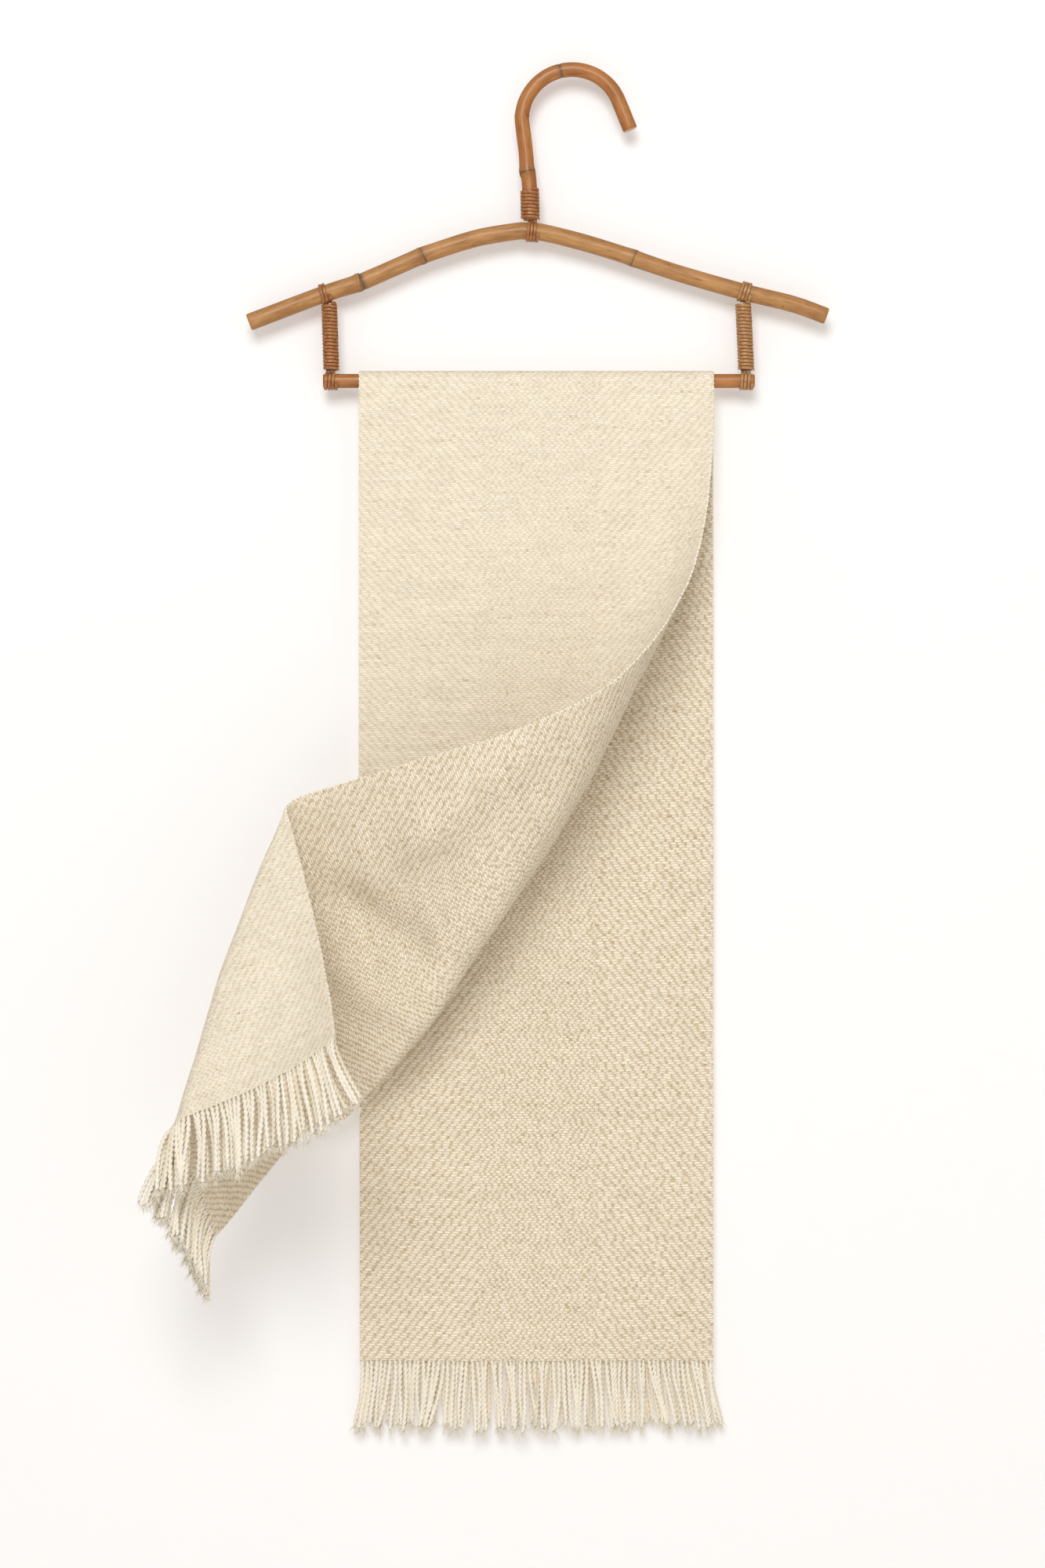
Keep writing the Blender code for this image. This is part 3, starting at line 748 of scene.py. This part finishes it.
def yarnTree(material):
    tree, source = newTree("plied yarn", {
        "Float": ("Yarn Width", "Ply Pitch", "Step", "Fray Length"), "Int": ("Seed",),
    })
    curve = addNode(tree, "GeometryNodeMeshToCurve", {"Mesh": source["Geometry"]})
    fine = addNode(tree, "GeometryNodeResampleCurve", {
        "Curve": curve.outputs[0], "Length": source["Step"],
    }, mode="LENGTH")
    spot = addNode(tree, "GeometryNodeSplineParameter").outputs
    thin = addNode(tree, "ShaderNodeMapRange", {
        "Value": spot["Factor"], "From Min": 0.0, "From Max": 0.12, "To Min": 0.62, "To Max": 1.0,
    })
    tip = addNode(tree, "ShaderNodeMapRange", {
        "Value": spot["Factor"], "From Min": 0.86, "From Max": 1.0, "To Min": 1.0, "To Max": 0.85,
    })
    uneven = addNode(tree, "ShaderNodeTexNoise", {"Scale": 160.0, "Detail": 1.0}).outputs["Fac"]
    thickness = times(times(thin.outputs["Result"], tip.outputs["Result"]), timesPlus(uneven, 0.5, 0.75))
    sized = addNode(tree, "GeometryNodeSetCurveRadius", {"Curve": fine.outputs[0], "Radius": thickness})
    twist = times(calc("DIVIDE", spot["Length"], source["Ply Pitch"]), math.tau)
    tilted = addNode(tree, "GeometryNodeSetCurveTilt", {"Curve": sized.outputs[0], "Tilt": twist})

    # two plies side by side: a ring with a waist
    ring = addNode(tree, "GeometryNodeCurvePrimitiveCircle", {
        "Resolution": 10, "Radius": times(source["Yarn Width"], 0.5),
    })
    place = addNode(tree, "GeometryNodeInputPosition").outputs[0]
    axes = addNode(tree, "ShaderNodeSeparateXYZ", {"Vector": place}).outputs
    waist = calc("ABSOLUTE", calc("DIVIDE", axes["X"], source["Yarn Width"]))
    lobes = combined(X=axes["X"], Y=times(axes["Y"], timesPlus(waist, 0.75, 0.58)))
    profile = addNode(tree, "GeometryNodeSetPosition", {"Geometry": ring.outputs["Curve"], "Position": lobes})
    yarn = addNode(tree, "GeometryNodeCurveToMesh", {
        "Curve": tilted.outputs[0], "Profile Curve": profile.outputs[0], "Fill Caps": True,
        "Scale": addNode(tree, "GeometryNodeInputRadius").outputs[0],
    })

    # a few loose fibres at each tip
    ends = addNode(tree, "GeometryNodeCurveEndpointSelection", {"Start Size": 0, "End Size": 1})
    others = addNode(tree, "FunctionNodeBooleanMath", {0: ends.outputs[0]}, operation="NOT")
    only = addNode(tree, "GeometryNodeDeleteGeometry", {
        "Geometry": sized.outputs[0], "Selection": others.outputs[0],
    }, domain="POINT")
    points = addNode(tree, "GeometryNodeCurveToPoints", {"Curve": only.outputs[0]}, mode="EVALUATED")
    many = addNode(tree, "GeometryNodeDuplicateElements", {
        "Geometry": points.outputs["Points"], "Amount": fringe["fibres"],
    }, domain="POINT")
    fibre = addNode(tree, "GeometryNodeMeshCone", {
        "Vertices": 3, "Side Segments": 3, "Fill Segments": 1, "Radius Top": fringe["fibreThin"],
        "Radius Bottom": fringe["fibreThick"], "Depth": source["Fray Length"],
    })
    spin = addNode(tree, "FunctionNodeRandomValue", {
        0: (2.3, -0.8, 0.0), 1: (3.9, 0.8, 6.28), "Seed": source["Seed"],
    }, data_type="FLOAT_VECTOR")
    tuft = addNode(tree, "GeometryNodeInstanceOnPoints", {
        "Points": many.outputs["Geometry"], "Instance": fibre.outputs["Mesh"],
        "Rotation": spin.outputs[0], "Scale": randomScale(tree, source, 0.5, 1.3),
    })
    both = addNode(tree, "GeometryNodeJoinGeometry")
    feed(yarn.outputs[0], both.inputs[0])
    feed(tuft.outputs[0], both.inputs[0])
    return finishTree(tree, both.outputs[0], material)


def makeFringe(name, tree, first, last, end, seed, splay):
    front = fringeRoutes(first, last, end, seed, splay)
    routes = front + fringeRoutes(first, last, end, seed, splay, inner=True)
    points = [point for route in routes for point in route]
    edges = []
    inner = []
    for number, route in enumerate(routes):
        start = len(inner)
        edges += [(start + step, start + step + 1) for step in range(len(route) - 1)]
        # painted shade: the back layer is darkened fully and the front one a quarter, fading towards the tips
        shaded = 1.0 if number >= len(front) else 0.25
        inner += [shaded * (1 - 0.75 * step / len(route)) for step in range(len(route))]
    return grown(pathObject(name, points, edges, {"inner": ("FLOAT", inner)}), tree, {
        "Yarn Width": fringe["width"], "Ply Pitch": fringe["plyPitch"], "Step": fringe["step"],
        "Fray Length": fringe["fray"], "Seed": seed,
    })


def yarnMaterial():
    material, tree, shader = newMaterial("cream plied yarn", {
        "Roughness": 0.85, "Sheen Weight": 0.3, "Specular IOR Level": 0.25,
    })
    place = addNode(tree, "ShaderNodeTexCoord").outputs["Object"]
    colour = blendColour(noiseAt(place, 90.0, detail=3.0), fringe["dark"], fringe["light"])
    # painted shade: each strand is blended towards the tan by its stored inner value
    colour = blendColour(storedValue(tree, "inner"), colour, fringe["inside"])
    finishShader(shader, colour, noiseAt(place, 2200.0), 0.4, 0.0003)
    return material


# Selvedges: the small loops where every second weft row turns back

selvedge = {"pitch": 0.0034, "half": 0.00125, "height": 0.0008, "inset": 0.0004}


def selvedgeTree(material):
    tree, source = newTree("selvedge loops", {"Float": ("Loop Half Length", "Loop Height"), "Int": ("Seed",)})
    bead = addNode(tree, "GeometryNodeMeshIcoSphere", {"Radius": 1.0, "Subdivisions": 1})
    points = addNode(tree, "GeometryNodeMeshToPoints", {"Mesh": source["Geometry"]})
    along = addNode(tree, "GeometryNodeInputNamedAttribute", {"Name": "along"}, data_type="FLOAT_VECTOR")
    turn = addNode(tree, "FunctionNodeAlignRotationToVector", {"Vector": along.outputs[0]}, axis="X")
    size = combined(X=source["Loop Half Length"], Y=source["Loop Height"], Z=source["Loop Height"])
    loops = addNode(tree, "GeometryNodeInstanceOnPoints", {
        "Points": points.outputs[0], "Instance": bead.outputs["Mesh"], "Rotation": turn.outputs[0],
        "Scale": vectorScaled(size, randomScale(tree, source, 0.8, 1.15)),
    })
    return finishTree(tree, loops.outputs[0], material)


def makeSelvedge(name, across, tree, seed):
    along = np.arange(-clothEnd + 0.002, clothEnd - 0.001, selvedge["pitch"])
    place = hang(np.full(len(along), across), along, np.zeros(len(along)))
    ahead = hang(np.full(len(along), across), along + 0.001, np.zeros(len(along)))
    path = pathObject(name, place, attributes={"along": ("FLOAT_VECTOR", ahead - place)})
    return grown(path, tree, {
        "Loop Half Length": selvedge["half"], "Loop Height": selvedge["height"], "Seed": seed,
    })


yarn = yarnMaterial()
scarfCloth = makeSheet("scarf_cloth", clothMaterial())
print("scarf cloth:", len(scarfCloth.data.polygons), "faces")

selvedgeLoops = selvedgeTree(yarn)
selvedgeLeft = makeSelvedge("selvedge_left", selvedge["inset"], selvedgeLoops, 3)
selvedgeRight = makeSelvedge("selvedge_right", scarf["width"] - selvedge["inset"], selvedgeLoops, 4)
print("selvedges:", len(selvedgeLeft.data.polygons) + len(selvedgeRight.data.polygons), "faces")

strands = yarnTree(yarn)
secondFold = foldRows[6]  # where the end flap starts
splitAcross = scarf["width"] * (secondFold["left"] - scarf["leg"]) / (secondFold["left"] - secondFold["right"])
backFringe = makeFringe("fringe_back", strands, 0.0, scarf["width"], -clothEnd, 21, (0.12, 0.26, 4))
turnedFringe = makeFringe("fringe_turned", strands, 0.0, splitAcross, clothEnd, 22, (-0.05, -0.28, 1.5))
flapFringe = makeFringe("fringe_flap", strands, splitAcross, scarf["width"], clothEnd, 23, (0.02, 0.55, 4))
print("fringe:", sum(len(one.data.polygons) for one in (backFringe, turnedFringe, flapFringe)), "faces")


# The hanger: bent cane poles, cut square at their ends

hanger = {
    "rod": 0.0102,
    "pole": 0.0122,
    "hook": 0.0107,
    "post": 0.0086,
    "rodLeft": -0.1785,
    "rodRight": 0.1320,
    "hookRadius": 0.0361,
    "hookCentreX": 0.0008,
    "crownEnd": 22.0,
    "tipLength": 0.0222,
    "postBottomZ": -0.2116,
    "sides": 32,
    "step": 0.0011,
    "rodStep": 0.0015,
    "postStep": 0.002,
    "crownKnots": 25,
    "wobble": 0.018,  # how far a pole is from round
    "speck": (0.09, 0.04, 0.015),
    "groove": (0.09, 0.055, 0.03),
    "cut": (0.62, 0.42, 0.24),
    "pore": (0.36, 0.20, 0.09),
}
armRoute = (
    dict(x=-0.2320, z=-0.1767, thick=1.00),
    dict(x=-0.1784, z=-0.1564, thick=1.00),
    dict(x=-0.1575, z=-0.1497, thick=1.04),
    dict(x=-0.1524, z=-0.1479, thick=1.14),
    dict(x=-0.1475, z=-0.1461, thick=1.02),
    dict(x=-0.1130, z=-0.1310, thick=1.00),
    dict(x=-0.1073, z=-0.1287, thick=1.09),
    dict(x=-0.1020, z=-0.1267, thick=1.00),
    dict(x=-0.0689, z=-0.1163, thick=1.00),
    dict(x=-0.0401, z=-0.1112, thick=1.00),
    dict(x=-0.0332, z=-0.1110, thick=1.00),
    dict(x=-0.0218, z=-0.1116, thick=1.00),
    dict(x=0.0090, z=-0.1191, thick=1.00),
    dict(x=0.0400, z=-0.1286, thick=1.00),
    dict(x=0.0452, z=-0.1304, thick=1.10),
    dict(x=0.0504, z=-0.1323, thick=1.00),
    dict(x=0.0807, z=-0.1423, thick=0.98),
    dict(x=0.1242, z=-0.1547, thick=0.98),
    dict(x=0.1603, z=-0.1637, thick=0.97),
    dict(x=0.1840, z=-0.1722, thick=0.97),
)
armRings = (-0.1512, -0.1066, 0.0455)  # where each is, along X
hookRings = ((-0.0067, 0.004), (-0.0314, -0.0683))  # X and Z
hookFoot = (
    dict(x=-0.0292, z=-0.1030, thick=1.00),
    dict(x=-0.0298, z=-0.0800, thick=1.02),
    dict(x=-0.0305, z=-0.0720, thick=1.04),
    dict(x=-0.0314, z=-0.0683, thick=1.16),
    dict(x=-0.0318, z=-0.0640, thick=1.02),
    dict(x=-0.0326, z=-0.0530, thick=1.00),
)
ties = (
    dict(name="tie_arm_left", x=-0.1773, z=-0.1561, lean=19.4, across=0.0122, length=0.0079, turns=3, cane="toasted"),
    dict(name="tie_arm_right", x=0.1256, z=-0.1550, lean=-15.0, across=0.0122, length=0.0100, turns=4, cane="pale"),
    dict(name="tie_rod_left", x=-0.1728, z=-0.2188, lean=0.0, across=0.0102, length=0.0104, turns=4, cane="toasted"),
    dict(name="tie_rod_right", x=0.1262, z=-0.2188, lean=0.0, across=0.0102, length=0.0104, turns=4, cane="pale"),
    dict(name="tie_arm_hook", x=-0.0276, z=-0.1113, lean=-3.0, across=0.0122, length=0.0096, turns=4, cane="toasted"),
)
posts = (
    dict(side="left", bottomX=-0.1725, topX=-0.1740, topZ=-0.1646, cane="toasted"),
    dict(side="right", bottomX=0.1262, topX=0.1240, topZ=-0.1641, cane="pale"),
)


def smoothRoute(rows, step):
    # a curve through every row, with points a step apart: x, z and thickness
    knots = np.array([(row["x"], row["z"], row["thick"]) for row in rows])
    ends = np.concatenate([[2 * knots[0] - knots[1]], knots, [2 * knots[-1] - knots[-2]]])
    found = []
    for number in range(1, len(ends) - 2):
        before, start, end, after = ends[number - 1 : number + 3]
        slope = end - before
        curve = 2 * before - 5 * start + 4 * end - after
        twist = 3 * start - before - 3 * end + after
        count = max(2, int(np.linalg.norm((end - start)[:2]) / step))
        for share in np.arange(count) / count:
            found.append(0.5 * (2 * start + slope * share + curve * (share * share) + twist * share ** 3))
    found.append(ends[-2])
    return np.array(found)


def straightRoute(startX, startZ, endX, endZ, step):
    return smoothRoute((dict(x=startX, z=startZ, thick=1.0), dict(x=endX, z=endZ, thick=1.0)), step)


def hookRoute(step):
    rows = list(hookFoot)
    radius = hanger["hookRadius"]
    crownEnd = math.radians(hanger["crownEnd"])
    for angle in np.linspace(math.pi, crownEnd, hanger["crownKnots"]):
        x = hanger["hookCentreX"] + radius * math.cos(angle)
        rows.append(dict(x=x, z=hanger["hook"] / 2 - radius + radius * math.sin(angle), thick=1.0))
    tip = hanger["tipLength"]
    last = rows[-1]
    rows.append(dict(x=last["x"] + tip * math.sin(crownEnd), z=last["z"] - tip * math.cos(crownEnd), thick=1.0))
    return smoothRoute(rows, step)


def walkedAlong(points):
    return np.concatenate([[0], np.cumsum(np.linalg.norm(np.diff(points, axis=0), axis=1))])


def lengthTo(route, x, z):  # how far along the route its nearest point to a place is
    return walkedAlong(route[:, :2])[np.argmin(np.hypot(route[:, 0] - x, route[:, 1] - z))]


def caneTube(name, route, diameter, materials, seed, rings=()):
    # a pole along x, z and thickness, with a dark groove at each ring and its two ends cut square
    random = np.random.default_rng(seed)
    sides = hanger["sides"]
    count = len(route)
    centre = np.stack([route[:, 0], np.zeros(count), route[:, 1]], 1)
    forward = np.gradient(centre, axis=0)
    forward /= np.linalg.norm(forward, axis=1)[:, None]
    out = np.stack([-forward[:, 2], np.zeros(count), forward[:, 0]], 1)[:, None, :]
    depth = np.array([0.0, -1.0, 0.0])
    walked = walkedAlong(centre)
    angle = np.arange(sides) / sides * math.tau
    radius = diameter / 2 * route[:, 2:3] * np.ones((1, sides))
    for wave in range(2, 4):
        phase = random.uniform(0, math.tau)
        radius *= 1 + hanger["wobble"] / wave * np.sin(wave * angle[None, :] + phase + walked[:, None] * 30)
    ring = np.zeros(count)
    for place in rings:
        away = walked - place
        ring = np.maximum(ring, np.exp(-((away / 0.0006) ** 2)))
        ring = np.maximum(ring, 0.35 * np.exp(-np.abs(away + 0.0012) / 0.0022))
        radius *= 1 - 0.06 * np.exp(-((away / 0.0007) ** 2))[:, None]
    rounding = np.minimum(walked, walked[-1] - walked)
    radius *= (1 - 0.08 * np.exp(-(rounding / 0.0005) ** 2))[:, None]
    around = np.cos(angle)[None, :, None] * out + np.sin(angle)[None, :, None] * depth
    points = (centre[:, None, :] + radius[:, :, None] * around).reshape(-1, 3)
    number = np.arange(count * sides).reshape(count, sides)
    beside = np.roll(number, -1, axis=1)
    quads = np.stack([number[:-1], beside[:-1], beside[1:], number[1:]], 2).reshape(-1, 4)

    mesh = bpy.data.meshes.new(name)
    mesh.from_pydata(points.tolist(), [], quads.tolist() + [number[0][::-1].tolist(), number[-1].tolist()])
    uvs = []
    for start, end in zip(walked[:-1], walked[1:]):
        for column in range(sides):
            low, high = (edge / sides * math.pi * diameter for edge in (column, column + 1))
            uvs += [(start, low), (start, high), (end, high), (end, low)]
    for turn in (angle[::-1], angle):
        uvs += [(0.5 * diameter * math.cos(one), 0.5 * diameter * math.sin(one)) for one in turn]
    mesh.uv_layers.new(name="bark").data.foreach_set("uv", np.array(uvs, np.float32).ravel())
    groove = mesh.attributes.new("ring", "FLOAT", "POINT")
    groove.data.foreach_set("value", np.repeat(ring, sides).astype(np.float32))
    for material in materials:
        mesh.materials.append(material)
    for place, face in enumerate(mesh.polygons):
        isEnd = place >= len(quads)
        face.use_smooth = not isEnd
        face.material_index = int(isEnd)
    turnNormalsOutward(mesh)
    return addObject(name, mesh)


def caneMaterial(name, light, dark, blotch, varnish):
    material, tree, shader = newMaterial(name, {
        "Roughness": 0.42, "Specular IOR Level": 0.35, "Coat Weight": varnish, "Coat Roughness": 0.25,
    })
    bark = flatPlace(tree, "bark")

    def drawnOut(stretch, scale, detail, rough):
        place = addNode(tree, "ShaderNodeMapping", {"Vector": bark, "Scale": (stretch, 1.0, 1.0)})
        return noiseAt(place.outputs[0], scale, detail, rough)

    grain = drawnOut(0.05, 1300.0, 3.0, 0.6)
    tone = plus(times(grain, 0.45), times(drawnOut(0.30, 120.0, 4.0, 0.65), 0.55))
    colour = blendColour(stretchedRange(tone, 0.36, 0.62), dark, light)
    patches = stretchedRange(drawnOut(0.45, 70.0, 5.0, 0.75), 0.56, 0.72)
    streaks = stretchedRange(drawnOut(0.10, 420.0, 2.0, 0.5), 0.66, 0.72)
    specks = rareSpecks(bark, 230.0, 0.14, 0.90)
    for share, strength, over in (
        (patches, 0.55, blotch), (streaks, 0.55, blotch),
        (specks, 0.7, hanger["speck"]), (storedValue(tree, "ring"), 0.9, hanger["groove"]),
    ):
        colour = blendColour(times(share, strength), colour, over)
    finishShader(shader, colour, grain, 0.3, 0.0002)
    return material


def cutMaterial():
    material, tree, shader = newMaterial("cut cane end", {"Roughness": 0.7})
    pores = addNode(tree, "ShaderNodeTexVoronoi", {"Vector": flatPlace(tree, "bark"), "Scale": 1500.0})
    colour = blendColour(stretchedRange(pores.outputs["Distance"], 0.1, 0.5), hanger["pore"], hanger["cut"])
    feed(colour, shader.inputs["Base Color"])
    return material


# Split cane, wound round a pole: a flat strip along a spiral

binding = {
    "strip": 0.0014,
    "postPitch": 0.0025,
    "sleeve": 0.0002,
    "cover": 0.90,  # of the pitch that a strip takes
    "reach": 0.0026,  # that the post wraps go on, up to the arm
    "startless": 0.8,  # of a turn that a winding lacks, where its two ends are tucked in
    "hookTurns": 9,
    "uneven": 0.0006,
}


def windingTree(material):
    tree, source = newTree("split cane winding", {
        "Float": ("Inner Radius", "Length", "Turns", "Strip Width", "Strip Thickness", "Seed"),
        "Vector": ("Place",), "Rotation": ("Rotation",),
    })
    middle = plus(source["Inner Radius"], times(source["Strip Thickness"], 0.5))
    height = minus(source["Length"], source["Strip Width"])
    spiral = addNode(tree, "GeometryNodeCurveSpiral", {
        "Resolution": 36, "Rotations": source["Turns"], "Start Radius": middle, "End Radius": middle, "Height": height,
    })
    upright = addNode(tree, "GeometryNodeSetCurveNormal", {"Curve": spiral.outputs[0]}, mode="Z_UP")
    kept = addNode(tree, "GeometryNodeStoreNamedAttribute", {
        "Geometry": upright.outputs[0], "Name": "strip",
        "Value": addNode(tree, "GeometryNodeSplineParameter").outputs["Length"],
    }, data_type="FLOAT", domain="POINT")

    # the strip's section: a flat oval
    ring = addNode(tree, "GeometryNodeCurvePrimitiveCircle", {"Resolution": 12, "Radius": 0.5})
    place = addNode(tree, "GeometryNodeInputPosition").outputs[0]
    axes = addNode(tree, "ShaderNodeSeparateXYZ", {"Vector": place}).outputs
    squarer = calc("POWER", calc("ABSOLUTE", times(axes["Y"], 2.0)), 0.6)
    wider = times(times(calc("SIGN", axes["Y"]), squarer), 0.5)
    oval = combined(X=times(axes["X"], source["Strip Thickness"]), Y=times(wider, source["Strip Width"]))
    profile = addNode(tree, "GeometryNodeSetPosition", {"Geometry": ring.outputs["Curve"], "Position": oval})
    strip = addNode(tree, "GeometryNodeCurveToMesh", {
        "Curve": kept.outputs[0], "Profile Curve": profile.outputs[0], "Fill Caps": True,
    })

    noise = addNode(tree, "ShaderNodeTexNoise", {"Scale": 330.0, "Detail": 1.0}, noise_dimensions="4D")
    feed(source["Seed"], noise.inputs["W"])
    shift = addNode(tree, "ShaderNodeVectorMath", {0: noise.outputs["Color"], 1: (0.5, 0.5, 0.5)}, operation="SUBTRACT")
    uneven = addNode(tree, "GeometryNodeSetPosition", {
        "Geometry": strip.outputs[0], "Offset": vectorScaled(shift.outputs[0], binding["uneven"]),
    })
    lowered = addNode(tree, "GeometryNodeTransform", {
        "Geometry": uneven.outputs[0], "Translation": combined(Z=times(height, -0.5)),
    })
    placed = addNode(tree, "GeometryNodeTransform", {
        "Geometry": lowered.outputs[0], "Translation": source["Place"], "Rotation": source["Rotation"],
    })
    return finishTree(tree, placed.outputs[0], material)


def makeWinding(name, tree, diameter, length, turns, place, tilt, seed):
    made = grown(pathObject(name, [(0, 0, 0)]), tree, {
        "Inner Radius": diameter / 2 + binding["sleeve"], "Length": length, "Turns": turns - binding["startless"],
        "Strip Width": length / turns * binding["cover"], "Strip Thickness": binding["strip"],
        "Place": tuple(place), "Rotation": Euler((0, tilt, 0)), "Seed": float(seed),
    })
    turnNormalsOutward(made.data)
    return made


def splitCaneMaterial(name, light, dark):
    material, tree, shader = newMaterial(name, {"Roughness": 0.4, "Coat Weight": 0.2, "Coat Roughness": 0.3})
    lengthwise = addNode(tree, "ShaderNodeTexNoise", {
        "W": times(storedValue(tree, "strip"), 55.0), "Detail": 3.0,
    }, noise_dimensions="1D")
    fine = noiseAt(addNode(tree, "ShaderNodeTexCoord").outputs["Object"], 420.0, detail=3.0)
    tone = plus(times(lengthwise.outputs["Fac"], 0.6), times(fine, 0.4))
    finishShader(shader, blendColour(stretchedRange(tone, 0.35, 0.65), dark, light), fine, 0.25, 0.0002)
    return material


paleCane = caneMaterial("tan cane bark", (0.53, 0.275, 0.098), (0.30, 0.130, 0.040), (0.19, 0.065, 0.016), 0.08)
redCane = caneMaterial("toasted cane bark", (0.49, 0.205, 0.055), (0.29, 0.095, 0.022), (0.16, 0.045, 0.011), 0.22)
# painted shade: the posts' cane is near black, for the shade where it shows between the wraps
wrapCore = caneMaterial(
    "shaded cane under the wraps", (0.13, 0.055, 0.020), (0.08, 0.032, 0.012), (0.06, 0.024, 0.009), 0.15,
)
cutEnd = cutMaterial()
windingTrees = {
    "toasted": windingTree(splitCaneMaterial("toasted split cane", (0.45, 0.185, 0.055), (0.25, 0.080, 0.020))),
    "pale": windingTree(splitCaneMaterial("pale split cane", (0.50, 0.265, 0.100), (0.32, 0.140, 0.045))),
}

armPath = smoothRoute(armRoute, hanger["step"])
hookPath = hookRoute(hanger["step"])
rodPath = straightRoute(hanger["rodLeft"], scarf["rodZ"], hanger["rodRight"], scarf["rodZ"], hanger["rodStep"])
armRingPlaces = [lengthTo(armPath, x, np.interp(x, armPath[:, 0], armPath[:, 1])) for x in armRings]
hookRingPlaces = [lengthTo(hookPath, x, z) for x, z in hookRings]
arm = caneTube("cane_arm", armPath, hanger["pole"], (paleCane, cutEnd), 2, armRingPlaces)
hook = caneTube("cane_hook", hookPath, hanger["hook"], (redCane, cutEnd), 3, hookRingPlaces)
rod = caneTube("cane_rod", rodPath, hanger["rod"], (redCane, cutEnd), 4)

# every finished piece, with its slot and the nodes that it stands for
dressed = [
    (arm, "pale_cane", ["hanger_arm"]),
    (hook, "toasted_cane", ["hanger_hook"]),
    (rod, "toasted_cane", ["hanger_rod"]),
]
for row in posts:
    side = row["side"]
    bottom = Vector((row["bottomX"], 0, hanger["postBottomZ"]))
    rise = Vector((row["topX"], 0, row["topZ"])) - bottom
    path = straightRoute(bottom.x, bottom.z, row["topX"], row["topZ"], hanger["postStep"])
    post = caneTube("cane_post_" + side, path, hanger["post"], (wrapCore, cutEnd), 6)
    length = rise.length + binding["reach"]
    turns = round(length / binding["postPitch"])
    middle = bottom + rise.normalized() * length / 2
    tree = windingTrees[row["cane"]]
    wrap = makeWinding("wrap_" + side, tree, hanger["post"], length, turns, middle, math.atan2(rise.x, rise.z), 11)
    dressed += [(post, "pale_cane", ["hanger_post_" + side]), (wrap, "split_cane", ["wrap_post_" + side])]
for row in ties:
    tilt = math.pi / 2 - math.radians(row["lean"])
    place = (row["x"], 0, row["z"])
    tree = windingTrees[row["cane"]]
    tie = makeWinding(row["name"] + "_turns", tree, row["across"], row["length"], row["turns"], place, tilt, 13)
    dressed.append((tie, "split_cane", [row["name"]]))
foot, neck = (Vector((row["x"], 0, row["z"])) for row in hookFoot[:2])
rise = neck - foot
tilt = math.atan2(rise.x, rise.z)
turns = binding["hookTurns"]
hookBinding = makeWinding(
    "hook_binding", windingTrees["toasted"], hanger["hook"], rise.length, turns, foot + rise / 2, tilt, 17,
)
dressed.append((hookBinding, "split_cane", ["binding_hook"]))
print("hanger:", len(dressed), "pieces")


# What rides, and what it replaces

dressed += [
    (scarfCloth, "cloth", ["cloth_front_leg", "cloth_turned_stretch", "cloth_end_flap", "cloth_back_leg"]),
    (selvedgeLeft, "cloth", []),
    (selvedgeRight, "cloth", []),
    (backFringe, "fringe", ["fringe_back_leg"]),
    (turnedFringe, "fringe", ["fringe_turned_stretch"]),
    (flapFringe, "fringe", ["fringe_end_flap"]),
]
for piece, slot, nodes in dressed:
    if nodes:
        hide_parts(*nodes)
    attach(piece, "root")
